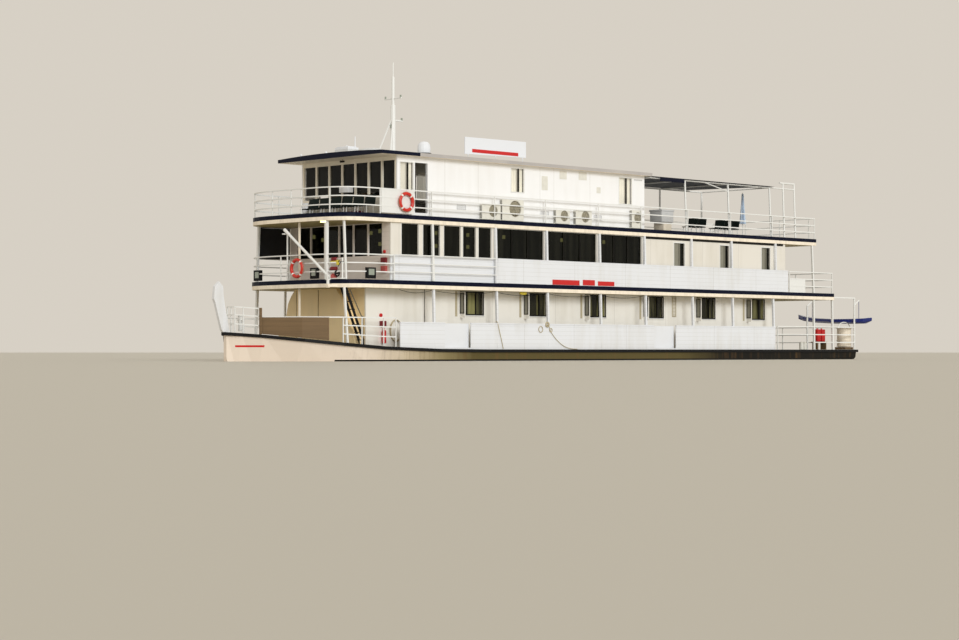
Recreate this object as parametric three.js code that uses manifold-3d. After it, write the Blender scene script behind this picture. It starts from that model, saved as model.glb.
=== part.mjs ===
// Three-deck river passenger ship, millimetres, +X to the bow, +Y to port, +Z up.
// Stations are millimetres aft of frame 0, which stands just behind the wheelhouse front.

import * as THREE from 'three';
import * as BufferGeometryUtils from 'three/addons/utils/BufferGeometryUtils.js';
import Module from 'manifold-3d';

const wasm = await Module();
wasm.setup();

// Driving sizes of the ship

const midStation = 10910;
const portShift = 290;
const gap = 0.3;
const joined = 4;

const waterline = 1000;
const mainDeck = waterline + 440;
const midDeck = waterline + 2985;
const upperDeck = waterline + 5425;
const roofSoffit = waterline + 7637;
const roofEdge = waterline + 7768;
const roofCrown = waterline + 7850;

const fasciaDepth = 295;

const hullHalf = 3190;
const strakeHalf = 3250;
const midHalf = 3150;
const upperHalf = 3020;
const roofHalf = 3050;

const frontCorner = -1200;
const frontTip = -3170;
const upperAft = 24950;
const midAft = 26100;
const mainAft = 27780;

// Deckhouses: front and aft stations and half-breadths

const mainHouse = { front: -1450, aft: 22650, half: 2420, wall: 60 };
const midHouse = { front: -700, aft: 22770, half: 2950, wall: 60 };
const upperHouse = { front: -220, aft: 13550, half: 2780, wall: 60 };

const railRadius = 21;
const railHeight = 945;

// Frame helpers: a station becomes X, and simple solids become manifolds

const stationX = (station) => midStation - station;

function solid(geometry) {
    const bare = geometry.clone();
    bare.deleteAttribute('normal');
    bare.deleteAttribute('uv');
    const merged = BufferGeometryUtils.mergeVertices(bare, 1e-3);
    return new wasm.Manifold(new wasm.Mesh({
        numProp: 3,
        vertProperties: new Float32Array(merged.attributes.position.array),
        triVerts: new Uint32Array(merged.index.array),
    }));
}

function geometryOf(manifold) {
    const mesh = manifold.getMesh();
    const geometry = new THREE.BufferGeometry();
    geometry.setAttribute('position', new THREE.BufferAttribute(mesh.vertProperties, 3));
    geometry.setIndex(new THREE.BufferAttribute(mesh.triVerts, 1));
    return geometry;
}

function union(parts) {
    return parts.reduce((whole, part) => whole.add(part));
}

// A block between two stations, two sides and two heights
function block(stationFore, stationAft, y0, y1, z0, z1) {
    const geometry = new THREE.BoxGeometry(stationAft - stationFore, y1 - y0, z1 - z0);
    geometry.translate(stationX((stationFore + stationAft) / 2), (y0 + y1) / 2, (z0 + z1) / 2);
    return solid(geometry);
}

// A round bar between two points given as [station, y, z]
function bar(from, to, radius, sides = 6) {
    const a = new THREE.Vector3(stationX(from[0]), from[1], from[2]);
    const b = new THREE.Vector3(stationX(to[0]), to[1], to[2]);
    const along = b.clone().sub(a);
    const geometry = new THREE.CylinderGeometry(radius, radius, along.length(), sides);
    const turn = new THREE.Quaternion().setFromUnitVectors(new THREE.Vector3(0, 1, 0), along.clone().normalize());
    geometry.applyQuaternion(turn);
    const middle = a.add(b).multiplyScalar(0.5);
    geometry.translate(middle.x, middle.y, middle.z);
    return solid(geometry);
}

function polygon(points) {
    const corners = points.map(([x, y]) => new THREE.Vector2(x, y));
    return new THREE.Shape(THREE.ShapeUtils.isClockWise(corners) ? corners.reverse() : corners);
}

// Joins rings of equal length into one skin with end caps
function loft(rings) {
    const count = rings[0].length;
    const indices = [];
    for (let i = 0; i + 1 < rings.length; i++) {
        for (let j = 0; j < count; j++) {
            const next = (j + 1) % count;
            const [a, b] = [i * count + j, i * count + next];
            const [c, d] = [a + count, b + count];
            indices.push(a, c, b, b, c, d);
        }
    }
    const last = (rings.length - 1) * count;
    for (let j = 1; j + 1 < count; j++) {
        indices.push(0, j, j + 1);
        indices.push(last, last + j + 1, last + j);
    }
    const geometry = new THREE.BufferGeometry();
    geometry.setAttribute('position', new THREE.Float32BufferAttribute(rings.flat().flat(), 3));
    geometry.setIndex(indices);
    const skin = solid(geometry);
    if (skin.volume() > 0) return skin;
    geometry.setIndex(indices.reverse());
    return solid(geometry);
}

// A square rail mitred along [station, y, z] points
function railLine(points, half = railRadius) {
    const flat = points.map(([station, y, z]) => [new THREE.Vector2(stationX(station), y), z]);
    const count = flat.length;
    const rings = flat.map(([point, z], i) => {
        const before = flat[Math.max(i - 1, 0)][0];
        const after = flat[Math.min(i + 1, count - 1)][0];
        const into = (before === point ? after.clone().sub(point) : point.clone().sub(before)).normalize();
        const outOf = (after === point ? into.clone() : after.clone().sub(point)).normalize();
        const mitre = into.clone().add(outOf).normalize();
        const side = new THREE.Vector2(-mitre.y, mitre.x).multiplyScalar(half / mitre.dot(into));
        return [
            [point.x + side.x, point.y + side.y, z - half], [point.x + side.x, point.y + side.y, z + half],
            [point.x - side.x, point.y - side.y, z + half], [point.x - side.x, point.y - side.y, z - half],
        ];
    });
    return loft(rings);
}

// A plan outline of [station, y] points, raised between two heights
function planSolid(points, z0, z1) {
    const shape = polygon(points.map(([station, y]) => [stationX(station), y]));
    const geometry = new THREE.ExtrudeGeometry(shape, { depth: z1 - z0, bevelEnabled: false });
    geometry.translate(0, 0, z0);
    return solid(geometry);
}

// A side profile of [station, z] points, spread from y0 to y1
function sideSolid(points, y0, y1) {
    const shape = polygon(points.map(([station, z]) => [stationX(station), z]));
    const geometry = new THREE.ExtrudeGeometry(shape, { depth: y1 - y0, bevelEnabled: false });
    geometry.rotateX(Math.PI / 2);
    geometry.translate(0, y1, 0);
    return solid(geometry);
}

// A front profile of [y, z] points, spread between two stations
function frontSolid(points, stationFore, stationAft) {
    const shape = polygon(points);
    const geometry = new THREE.ExtrudeGeometry(shape, { depth: stationAft - stationFore, bevelEnabled: false });
    const turn = new THREE.Matrix4().makeBasis(
        new THREE.Vector3(0, 1, 0), new THREE.Vector3(0, 0, 1), new THREE.Vector3(1, 0, 0));
    geometry.applyMatrix4(turn);
    geometry.translate(stationX(stationAft), 0, 0);
    return solid(geometry);
}

// A solid of revolution about an upright axis at [station, y]
function turned(profile, station, y, sides = 16) {
    const points = profile.map(([radius, z]) => new THREE.Vector2(radius, z));
    const geometry = new THREE.LatheGeometry(points, sides);
    geometry.rotateX(Math.PI / 2);
    geometry.translate(stationX(station), y, 0);
    return solid(geometry);
}

function mirrored(manifold) {
    return manifold.mirror([0, 1, 0]);
}

// Model group and its finishes

const ship = new THREE.Group();
ship.position.set(0, -portShift, 0);

const finishes = {
    white: { color: 0xf2f1ec, roughness: 0.45, metalness: 0.0 },
    cream: { color: 0xe2d6b8, roughness: 0.5, metalness: 0.0 },
    black: { color: 0x141414, roughness: 0.6, metalness: 0.0 },
    glass: { color: 0x0c0f10, roughness: 0.08, metalness: 0.0 },
    red: { color: 0xc8281e, roughness: 0.5, metalness: 0.0 },
    wood: { color: 0x6f5a45, roughness: 0.8, metalness: 0.0 },
    canvas: { color: 0x5e7482, roughness: 0.9, metalness: 0.0 },
    bronze: { color: 0xa07a3a, roughness: 0.35, metalness: 0.9 },
    blue: { color: 0x1f4f9e, roughness: 0.35, metalness: 0.0 },
    rope: { color: 0xb9ab8c, roughness: 0.95, metalness: 0.0 },
};

function place(name, manifold, finish) {
    const mesh = new THREE.Mesh(geometryOf(manifold), new THREE.MeshStandardMaterial(finishes[finish]));
    mesh.name = name;
    ship.add(mesh);
}

// Hull: sections by station, joined by flat strips

const hullColumns = ['station', 'deckHalf', 'bilgeHalf', 'keelHalf', 'bilge', 'keel', 'deck'];
const hullRows = [
    [-6060, 80, 60, 40, 500, 0, waterline + 1057],
    [-5700, 500, 290, 120, 500, 0, waterline + 1020],
    [-5200, 1180, 760, 320, 480, 0, waterline + 960],
    [-4300, 2340, 1700, 950, 450, 0, waterline + 825],
    [-3000, 3080, 2620, 1950, 400, 0, waterline + 678],
    [-1100, hullHalf, 3060, 2600, 350, 0, waterline + 543],
    [1500, hullHalf, 3170, 2850, 320, 0, waterline + 460],
    [4000, hullHalf, hullHalf, 2900, 300, 0, mainDeck],
    [20800, hullHalf, hullHalf, 2900, 300, 0, mainDeck],
    [24300, hullHalf, hullHalf, 3000, 1050, 900, mainDeck],
    [27200, hullHalf, 3150, 3000, 1090, 950, mainDeck],
    [mainAft, 3160, 3100, 2950, 1090, 960, mainDeck],
];
const hullStations = hullRows.map((row) => Object.fromEntries(hullColumns.map((name, i) => [name, row[i]])));

function deckHeight(station) {
    const after = hullStations.findIndex((row) => row.station >= station);
    if (after <= 0) return hullStations[0].deck;
    const a = hullStations[after - 1];
    const b = hullStations[after];
    return a.deck + (b.deck - a.deck) * (station - a.station) / (b.station - a.station);
}

function deckEdge(station) {
    const after = hullStations.findIndex((row) => row.station >= station);
    if (after <= 0) return hullStations[0].deckHalf;
    const a = hullStations[after - 1];
    const b = hullStations[after];
    return a.deckHalf + (b.deckHalf - a.deckHalf) * (station - a.station) / (b.station - a.station);
}

// The hull form, grown outwards and upwards by an allowance
function hullForm(grow, lift) {
    const rings = hullStations.map((row, i) => {
        const ends = { 0: grow, [hullStations.length - 1]: -grow };
        const x = stationX(row.station) + (ends[i] ?? 0);
        return [
            [x, -row.keelHalf - grow, row.keel],
            [x, row.keelHalf + grow, row.keel],
            [x, row.bilgeHalf + grow, row.bilge],
            [x, row.deckHalf + grow, row.deck + lift],
            [x, -row.deckHalf - grow, row.deck + lift],
            [x, -row.bilgeHalf - grow, row.bilge],
        ];
    });
    return loft(rings);
}

const stemCut = sideSolid([
    [-6060, waterline + 1100], [-6048, waterline + 150], [-5990, waterline - 150], [-5700, 330], [-4500, -10],
    [-7000, -10], [-7000, waterline + 1100],
], -3300, 3300);
const hullSolid = hullForm(0, 0).subtract(stemCut);
const hullClear = hullForm(gap, gap);

// Rub strake along the deck edge, from stem to transom

const strakeDepth = 115;
const strakeWidth = strakeHalf - hullHalf;
const strakeBand = (() => {
    const rings = hullStations.map((row, i) => {
        const x = stationX(row.station) + (i === 0 ? strakeWidth : 0) - (i === hullStations.length - 1 ? strakeWidth : 0);
        const half = row.deckHalf + strakeWidth;
        return [
            [x, -half, row.deck - strakeDepth],
            [x, half, row.deck - strakeDepth],
            [x, half, row.deck],
            [x, -half, row.deck],
        ];
    });
    return loft(rings);
})();
place('rub_strake', strakeBand.subtract(hullClear), 'black');

// Stem post, a raked white timber on the centreline that turns upright at its head

const stemPostHalf = 60;
const stemPost = sideSolid([
    [-5885, deckHeight(-5885)], [-6015, waterline + 1606], [-6100, waterline + 1970], [-6158, waterline + 2340],
    [-6190, waterline + 2700], [-6360, waterline + 2880], [-6557, waterline + 2700], [-6600, waterline + 2250],
    [-6530, waterline + 2110], [-6387, waterline + 1606], [-6250, waterline + 1146], [-6180, waterline + 1064],
    [-6058, waterline + 1060],
], -stemPostHalf, stemPostHalf).subtract(hullForm(gap, gap));
place('stem_post', stemPost, 'white');

// Deck outlines: straight sides and a front that rounds off as a superellipse

function deckOutline(half, aft, square, inset = 0) {
    const steps = 16;
    const points = [];
    for (let i = 0; i <= steps; i++) {
        const angle = Math.PI * (i / steps - 0.5);
        const across = Math.sign(Math.sin(angle)) * Math.abs(Math.sin(angle)) ** (2 / square);
        const ahead = Math.abs(Math.cos(angle)) ** (2 / square);
        points.push([frontCorner - (frontCorner - frontTip - inset) * ahead, (half - inset) * across]);
    }
    points.push([aft - inset, half - inset]);
    points.push([aft - inset, -half + inset]);
    return points;
}

const midSquare = 3.5;
const upperSquare = 3.7;

// A deck: one deep slab, lined underneath
function deckSlab(half, aft, square, surface) {
    return planSolid(deckOutline(half, aft, square), surface - fasciaDepth, surface);
}

const midUnderside = midDeck - fasciaDepth - gap;
const upperUnderside = upperDeck - fasciaDepth - gap;

// A square post near each deck's fore edge, hung from the deck above
const forePost = { station: -2960, y: 430, half: 30 };
const hungPost = (foot, surface) => block(forePost.station - forePost.half, forePost.station + forePost.half,
    forePost.y - forePost.half, forePost.y + forePost.half, foot, surface - fasciaDepth + joined);
place('upper_deck', union([deckSlab(upperHalf, upperAft, upperSquare, upperDeck),
    hungPost(midDeck + gap, upperDeck)]), 'white');

// Roof over the wheelhouse and upper house, cambered, with a shallow edge

const roofFront = -1200;
const roofAft = 13750;
const camber = [];
const camberSteps = 8;
for (let i = 0; i <= camberSteps; i++) {
    const across = 1 - 2 * i / camberSteps;
    camber.push([roofHalf * across, roofEdge + (roofCrown - roofEdge) * (1 - across * across)]);
}
const roof = frontSolid([[-roofHalf, roofSoffit], [roofHalf, roofSoffit], ...camber], roofFront, roofAft);

// Deckhouse walls: each side and end is a panel of its own, with its openings cut

// An opening is [station, width, sill, head] in a side and [y0, y1, sill, head] in an end
function sidePanel(house, z0, z1, openings, side) {
    const inner = house.half - house.wall;
    let panel = block(house.front, house.aft, inner, house.half, z0, z1);
    for (const [station, width, sill, head] of openings) {
        panel = panel.subtract(block(station, station + width, inner - 10, house.half + 10, sill, head));
    }
    return side > 0 ? panel : mirrored(panel);
}

function endPanel(house, z0, z1, station, openings) {
    const inner = house.half - house.wall - gap;
    let panel = block(station, station + house.wall, -inner, inner, z0, z1);
    for (const [y0, y1, sill, head] of openings) {
        panel = panel.subtract(block(station - 10, station + house.wall + 10, y0, y1, sill, head));
    }
    return panel;
}

// A sheet of glass just inside the walls, round the front and both sides
function glassLining(house, foreStation, aftStation, sill, head) {
    const sheet = 10;
    const outer = house.half - house.wall - gap;
    const inner = outer - sheet;
    return planSolid([[aftStation, outer], [foreStation, outer], [foreStation, -outer], [aftStation, -outer],
        [aftStation, -inner], [foreStation + sheet, -inner], [foreStation + sheet, inner], [aftStation, inner]],
    sill, head);
}

const glassMargin = 40;

// Lower house on the main deck

const mainHouseTop = midUnderside;
const mainSill = waterline + 1780;
const mainWindowTop = waterline + 2640;
const mainWindowWidth = 1200;
const mainWindows = [3370, 6850, 10350, 13940, 17330, 20740];
const doorSill = 120;
const doorHead = 2000;
const aftDoorway = { y0: 300, y1: 1050 };
const underDeck = mainDeck - 60;
const mainOpenings = mainWindows.map((station) => [station, mainWindowWidth, mainSill, mainWindowTop]);

// A short wind fin stands out just forward of each window
const finDepth = 270;
const finThick = 40;
const fins = union(mainWindows.map((station) => block(station - 5 - finThick, station - 5, mainHouse.half - joined,
    mainHouse.half + finDepth, mainSill - 130, mainWindowTop)));
const recess = -700;
place('main_house_port', sidePanel(mainHouse, underDeck, mainHouseTop, mainOpenings, 1).add(fins)
    .subtract(hullClear), 'white');
place('main_house_starboard', sidePanel({ ...mainHouse, front: recess }, underDeck, mainHouseTop, mainOpenings, -1)
    .add(mirrored(fins)).subtract(hullClear), 'white');
place('main_house_aft', endPanel(mainHouse, underDeck, mainHouseTop, mainHouse.aft - mainHouse.wall,
    [[aftDoorway.y0, aftDoorway.y1, mainDeck + doorSill, mainDeck + doorHead]]).subtract(hullClear), 'cream');
place('main_house_glass', glassLining(mainHouse, 3200, 22100, mainSill - glassMargin, mainWindowTop + glassMargin),
    'glass');

// Saloon and cabins on the middle deck

const midHouseTop = upperUnderside;
const midSill = waterline + 3920;
const midHead = waterline + 5105;
// Columns: station, width
const saloonWindows = [
    [-160, 850], [920, 860], [1990, 860], [2980, 680], [3800, 690],
    [4760, 2620], [7590, 2850], [10660, 2520],
];
const cabinWindows = [[15210, 700], [18230, 620], [21070, 620]];
const cabinHead = waterline + 4930;
const cornerPanel = 420;
const saloonFrontPanes = 6;
const midOpenings = [
    ...saloonWindows.map(([station, width]) => [station, width, midSill, midHead]),
    ...cabinWindows.map(([station, width]) => [station, width, midSill, cabinHead]),
];
const paneBar = 60;
const saloonPane = (2 * (midHouse.half - cornerPanel) - paneBar * (saloonFrontPanes + 1)) / saloonFrontPanes;
const saloonFrontOpenings = [];
for (let i = 0; i < saloonFrontPanes; i++) {
    const y0 = -midHouse.half + cornerPanel + paneBar + i * (saloonPane + paneBar);
    saloonFrontOpenings.push([y0, y0 + saloonPane, midSill, midHead]);
}
const midFloor = midDeck + gap;

for (const [side, word] of [[1, 'port'], [-1, 'starboard']]) {
    place(`saloon_side_${word}`, sidePanel(midHouse, midFloor, midHouseTop, midOpenings, side), 'white');
}
place('saloon_front', endPanel(midHouse, midFloor, midHouseTop, midHouse.front, saloonFrontOpenings), 'white');
place('cabin_aft_wall', endPanel(midHouse, midFloor, midHouseTop, midHouse.aft - midHouse.wall,
    [[aftDoorway.y0, aftDoorway.y1, midDeck + doorSill, midDeck + doorHead]]), 'cream');
place('saloon_glass', glassLining(midHouse, midHouse.front + midHouse.wall + gap, 22100,
    midSill - glassMargin, midHead + 15), 'glass');

// Wheelhouse and upper house

const upperFloor = upperDeck + gap;
const upperHouseTop = roofSoffit - gap;
const wheelSill = upperDeck + 780;
const wheelHead = waterline + 7480;
const wheelPanes = 7;
const wheelBar = 90;
const wheelPane = (2 * (upperHouse.half - upperHouse.wall) - wheelBar * (wheelPanes + 1)) / wheelPanes;
const wheelFrontOpenings = [];
for (let i = 0; i < wheelPanes; i++) {
    const y0 = -upperHouse.half + upperHouse.wall + wheelBar + i * (wheelPane + wheelBar);
    wheelFrontOpenings.push([y0, y0 + wheelPane, wheelSill, wheelHead]);
}
const sideDoorway = { station: 670, width: 640 };
const upperOpenings = [
    [-80, 660, waterline + 6380, waterline + 7410],
    [sideDoorway.station, sideDoorway.width, upperDeck + doorSill, waterline + 7420],
    [5730, 720, waterline + 6585, waterline + 7520],
    [11980, 780, waterline + 6420, waterline + 7505],
];
for (const [side, word] of [[1, 'port'], [-1, 'starboard']]) {
    place(`upper_house_${word}`, sidePanel(upperHouse, upperFloor, upperHouseTop, upperOpenings, side), 'white');
}
place('wheelhouse_front', endPanel(upperHouse, upperFloor, upperHouseTop, upperHouse.front, wheelFrontOpenings),
    'white');
place('upper_house_aft', endPanel(upperHouse, upperFloor, upperHouseTop, upperHouse.aft - upperHouse.wall,
    [[aftDoorway.y0, aftDoorway.y1, upperDeck + doorSill, upperDeck + doorHead]]), 'white');
const afterGlass = block(5690, 12800, upperHouse.half - upperHouse.wall - gap - 10,
    upperHouse.half - upperHouse.wall - gap, waterline + 6380, waterline + 7550);
place('upper_glass_port', afterGlass, 'glass');
place('upper_glass_starboard', mirrored(afterGlass), 'glass');
place('wheelhouse_glass', glassLining(upperHouse, upperHouse.front + upperHouse.wall + gap,
    sideDoorway.station - 60, waterline + 6340, wheelHead + 15), 'glass');

// Doors: sliding ones in the wheelhouse sides, hung ones in the aft ends

const doorThick = 40;
const slideGap = 12;
const slideTravel = sideDoorway.width + 20;
for (const [side, word] of [[1, 'port'], [-1, 'starboard']]) {
    const outer = upperHouse.half - upperHouse.wall - slideGap;
    const leaf = block(sideDoorway.station + slideTravel - 20, sideDoorway.station + sideDoorway.width + slideTravel,
        outer - doorThick, outer, upperDeck + doorSill - 60, waterline + 7470);
    place(`wheelhouse_door_${word}`, side > 0 ? leaf : mirrored(leaf), 'white');
}

const doorClear = 8;
for (const [name, house, deck] of [['main', mainHouse, mainDeck], ['cabin', midHouse, midDeck],
    ['upper', upperHouse, upperDeck]]) {
    place(`${name}_aft_door`, block(house.aft - doorThick, house.aft, aftDoorway.y0 + doorClear,
        aftDoorway.y1 - doorClear, deck + doorSill + doorClear, deck + doorHead - doorClear), 'white');
}

// Bulwarks with the posts that carry the deck above, and the gates in them

const bulwarkThick = 36;
const mainBulwark = { fore: -400, aft: 21800, top: waterline + 1430, half: 3160 };
const midBulwark = { fore: 4700, aft: 22770, top: midDeck + 945, half: 3110 };
// Columns: station, width
const gates = [[1850, 1360], [13720, 1400]];
const postSize = 90;
const postStations = [1350, 4660, 7480, 10550, 13290, 16280, 18940, 21990];

function sidePost(station, deck, footY, top, headY, size = postSize) {
    const half = size / 2;
    return frontSolid([[footY - half, deck], [footY + half, deck], [headY + half, top], [headY - half, top]],
        station - half, station + half);
}

const mainPostFoot = 3130;
const mainPostHead = 3060;
const midPostFoot = 3060;
const midPostHead = 3000;

const gateThick = 30;
const gateRun = 15;
const gateTravel = 1400;
const gateOuter = mainPostHead - postSize / 2 - gateRun;
const gateLap = 20;

function mainSideRail() {
    const { fore, aft, top, half } = mainBulwark;
    let wall = block(fore, aft, half - bulwarkThick, half, underDeck, top);
    for (const [station, width] of gates) {
        wall = wall.subtract(block(station, station + width, half - 200, half + 200, mainDeck + 60, top + 50));
    }
    const caps = [fore, ...gates.flatMap(([station, width]) => [station, station + width]), aft];
    const parts = [wall];
    for (let i = 0; i < caps.length; i += 2) {
        parts.push(block(caps[i], caps[i + 1], half - 70, half + 20, top - 30, top + 20));
    }
    for (const [station, width] of gates) {
        parts.push(block(station - gateLap - 40, station + width + gateTravel + 40, gateOuter - gateThick - 20,
            half - bulwarkThick + 5, underDeck, mainDeck + 45));
    }
    const posts = [...postStations.slice(0, 7), 21750];
    for (const station of posts) {
        parts.push(sidePost(station, underDeck, mainPostFoot, midDeck - fasciaDepth - gap, mainPostHead));
    }
    return union(parts).subtract(hullClear).subtract(strakeBand);
}

function midSideRail() {
    const { fore, aft, top, half } = midBulwark;
    const parts = [
        block(fore, aft, half - bulwarkThick, half, midFloor + 8, top),
        block(fore - 5, aft + 5, half - 70, half + 10, top - 30, top + 20),
    ];
    for (const station of [...postStations.slice(1, 7), 21990]) {
        parts.push(sidePost(station, midFloor, midPostFoot, upperDeck - fasciaDepth - gap, midPostHead));
    }
    return union(parts);
}

for (const [side, word] of [[1, 'port'], [-1, 'starboard']]) {
    const main = mainSideRail();
    const mid = midSideRail();
    place(`main_bulwark_${word}`, side > 0 ? main : mirrored(main), 'white');
    place(`mid_bulwark_${word}`, side > 0 ? mid : mirrored(mid), 'white');
    gates.forEach(([station, width], i) => {
        const leaf = block(station - gateLap, station + width + gateLap, gateOuter - gateThick, gateOuter,
            mainDeck + 60, mainBulwark.top - 10);
        place(`gate_${i + 1}_${word}`, side > 0 ? leaf : mirrored(leaf), 'white');
    });
}

// A mooring line made fast on the port bulwark, hanging down to the rub strake

const lineRadius = 11;
const lineOut = mainBulwark.half + 20 + lineRadius + 1;
// Columns: station, y, height above the waterline
const linePoints = [
    [7440, lineOut, 1400], [7446, lineOut, 1340], [7462, lineOut, 1280], [7490, lineOut, 1218], [7535, lineOut, 1150],
    [7595, lineOut, 1078], [7665, lineOut, 1004], [7745, lineOut, 928], [7835, lineOut, 850], [7935, lineOut, 772],
    [8045, lineOut, 698], [8165, lineOut, 630], [8295, lineOut, 570], [8430, lineOut, 522], [8570, lineOut, 488],
    [8710, lineOut, 468], [8850, lineOut, 458], [8960, lineOut, 455], [9050, lineOut, 455],
].map(([station, y, level]) => new THREE.Vector3(stationX(station), y, waterline + level));
function mooringLine() {
    const route = new THREE.CatmullRomCurve3(linePoints);
    const section = new THREE.Shape(new THREE.EllipseCurve(0, 0, lineRadius, lineRadius).getPoints(10).slice(0, -1));
    return solid(new THREE.ExtrudeGeometry(section, { steps: 48, bevelEnabled: false, extrudePath: route }));
}
place('mooring_line', mooringLine(), 'rope');

// Open rails: three bars along a path of [station, y] points

const railLevels = 3;
const railPost = (station, y, foot, top) => block(station - 18, station + 18, y - 18, y + 18, foot, top);

// Posts are at shares of the path's length
function railing(path, surface, shares, height = railHeight) {
    const parts = [];
    for (let level = 1; level <= railLevels; level++) {
        const z = surface + height * level / railLevels - railRadius;
        parts.push(railLine(path.map(([station, y]) => [station, y, z])));
    }
    const runs = path.slice(1).map(([station, y], i) => Math.hypot(station - path[i][0], y - path[i][1]));
    const total = runs.reduce((sum, run) => sum + run, 0);
    for (const share of shares) {
        let left = share * total;
        let leg = 0;
        while (leg + 1 < runs.length && left > runs[leg]) left -= runs[leg++];
        const t = Math.min(1, left / runs[leg]);
        const [[sa, ya], [sb, yb]] = [path[leg], path[leg + 1]];
        parts.push(railPost(sa + (sb - sa) * t, ya + (yb - ya) * t, surface + gap, surface + height - 5));
    }
    return union(parts);
}

const upperRailHalf = upperHalf - 60;
const railSplit = frontCorner - 20;
const upperFrontPath = deckOutline(upperHalf, upperAft, upperSquare, 60).slice(0, -2)
    .filter(([station]) => station < railSplit - 60);
place('upper_rail_front', railing([[railSplit, -upperRailHalf], ...upperFrontPath, [railSplit, upperRailHalf]],
    upperDeck, [0, 0.2, 0.38, 0.513, 0.582, 0.754, 1]), 'white');
const railPanel = block(railSplit + 50, 450, upperRailHalf - 15, upperRailHalf + 12, upperDeck + 40, upperDeck + 930);
const sideRail = { fore: railSplit + 19, aft: upperAft - 60 };
const sidePosts = [1350, 4660, 7480, 10550, 13150, 16090, 18940, 21820, sideRail.aft];
const sideLength = sideRail.aft - sideRail.fore;
const sideShares = sidePosts.map((station) => (station - sideRail.fore) / sideLength);
place('upper_rail_port', railing([[sideRail.fore, upperRailHalf], [sideRail.aft, upperRailHalf]], upperDeck,
    sideShares).add(railPanel), 'white');
const aftRailEnd = upperRailHalf - railRadius - 1;
const roundLength = sideLength + upperRailHalf + aftRailEnd;
const aftShares = [1960, 3960, 5600].map((across) => (sideLength + across) / roundLength);
place('upper_rail_starboard', railing([[sideRail.fore, -upperRailHalf], [sideRail.aft, -upperRailHalf],
    [sideRail.aft, aftRailEnd]], upperDeck, [...sideShares.map((share) => share * sideLength / roundLength),
    ...aftShares]), 'white');

const midFrontPath = deckOutline(midHalf, midAft, midSquare, 70).slice(0, -2).filter(([station]) => station < -700);
const midEnds = [[-640, -midHalf + 70], ...midFrontPath, [-640, midHalf - 70]];
const midFrontPosts = [
    sidePost(-2640, midFloor, 2700, upperUnderside, 2590, 70),
    sidePost(-2350, midFloor, -2880, upperUnderside, -2760),
    sidePost(-2960, midFloor, 1990, upperUnderside, 1990, 110),
];
const lampFoot = midDeck + 40;
const lampTop = midDeck + 440;
const floodlight = (station, y) => block(station - 60, station + 60, y - 180, y + 180, lampFoot, lampTop);
const floodlights = [floodlight(-2930, -2060), floodlight(-2990, 1360),
    block(-1970, -1570, 2990, 3110, lampFoot, lampTop)];

// Foot of the boom and its resting angle, and the crutch pole that holds its outer end
const boomFoot = { station: -3240, y: 2400, z: midDeck - 65 };
const boomLength = 3070;
const boomRise = 35.5 * Math.PI / 180;
const cradleTop = waterline + 4727;
const crutch = [
    bar([frontTip + 70, -100, midFloor], [frontTip + 70, -100, cradleTop - 10], 30, 8),
    block(boomFoot.station - 90, frontTip + 100, -130, -20, cradleTop - 40, cradleTop),
];
place('mid_rail_front', union([railing(midEnds, midDeck, [0, 0.449, 1]), ...midFrontPosts, ...floodlights,
    ...crutch]), 'white');
const midAftPath = [[22900, midHalf - 70], [midAft - 70, midHalf - 70], [midAft - 70, -midHalf + 70],
    [22900, -midHalf + 70]];
const midAftPosts = [1, -1].map((side) => sidePost(24670, midFloor, side * 3070, upperUnderside, side * 2975, 80));
const midAftPanel = block(22900, 24040, midHalf - 85, midHalf - 58, midFloor, waterline + 3600);
place('mid_rail_aft', union([railing(midAftPath, midDeck, [0, 0.252, 0.417, 0.583, 0.748, 1]), midAftPanel,
    ...midAftPosts]), 'white');
const aftRail = { fore: 22000, aft: mainAft - 80, half: 3120, height: 1046 };
const mainAftPath = [[aftRail.fore, aftRail.half], [aftRail.aft, aftRail.half], [aftRail.aft, -aftRail.half],
    [aftRail.fore, -aftRail.half]];
const afterPosts = [24660, 26040];
const mainAftPosts = afterPosts.flatMap((station) => [1, -1].map((side) => sidePost(station, mainDeck + gap,
    side * 3110, midUnderside, side * 3070, 80)));

// A tall post at each after corner carries a bar forward to the middle deck, and davits stand at the port ones
const cornerPost = { station: 27690, y: 3110, top: waterline + 2810 };
const cornerPosts = [1, -1].flatMap((side) => [
    bar([cornerPost.station, side * cornerPost.y, mainDeck + gap], [cornerPost.station, side * cornerPost.y,
        cornerPost.top], 42, 8),
    block(midAft + 2, cornerPost.station + 30, side * cornerPost.y - 28, side * cornerPost.y + 28,
        cornerPost.top - 28, cornerPost.top + 28),
]);
// Columns: station, y
const davits = [[cornerPost.station, cornerPost.y], [27655, 450]];
const davitTip = { station: 28060, z: waterline + 2720 };
const davitPost = ([station, y]) => union([
    bar([station, y, mainDeck + gap], [station, y, waterline + 2500], 40, 8),
    bar([station, y, waterline + 2480], [davitTip.station, y, davitTip.z], 34, 8),
]);
// The lowest bar stops short of the after posts
const lowBarGaps = [1, -1].map((side) => block(aftRail.fore + 40, afterPosts[0], side * aftRail.half - 40,
    side * aftRail.half + 40, mainDeck + 250, mainDeck + 400));
place('main_rail_aft', union([railing(mainAftPath, mainDeck, [0, 0.441, 0.559, 1], aftRail.height),
    ...cornerPosts, ...davits.map(davitPost)]).subtract(union(lowBarGaps)).add(union(mainAftPosts)), 'white');

// Bow rail: a level top rail along the foredeck, and a thin higher one round the stem

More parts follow.
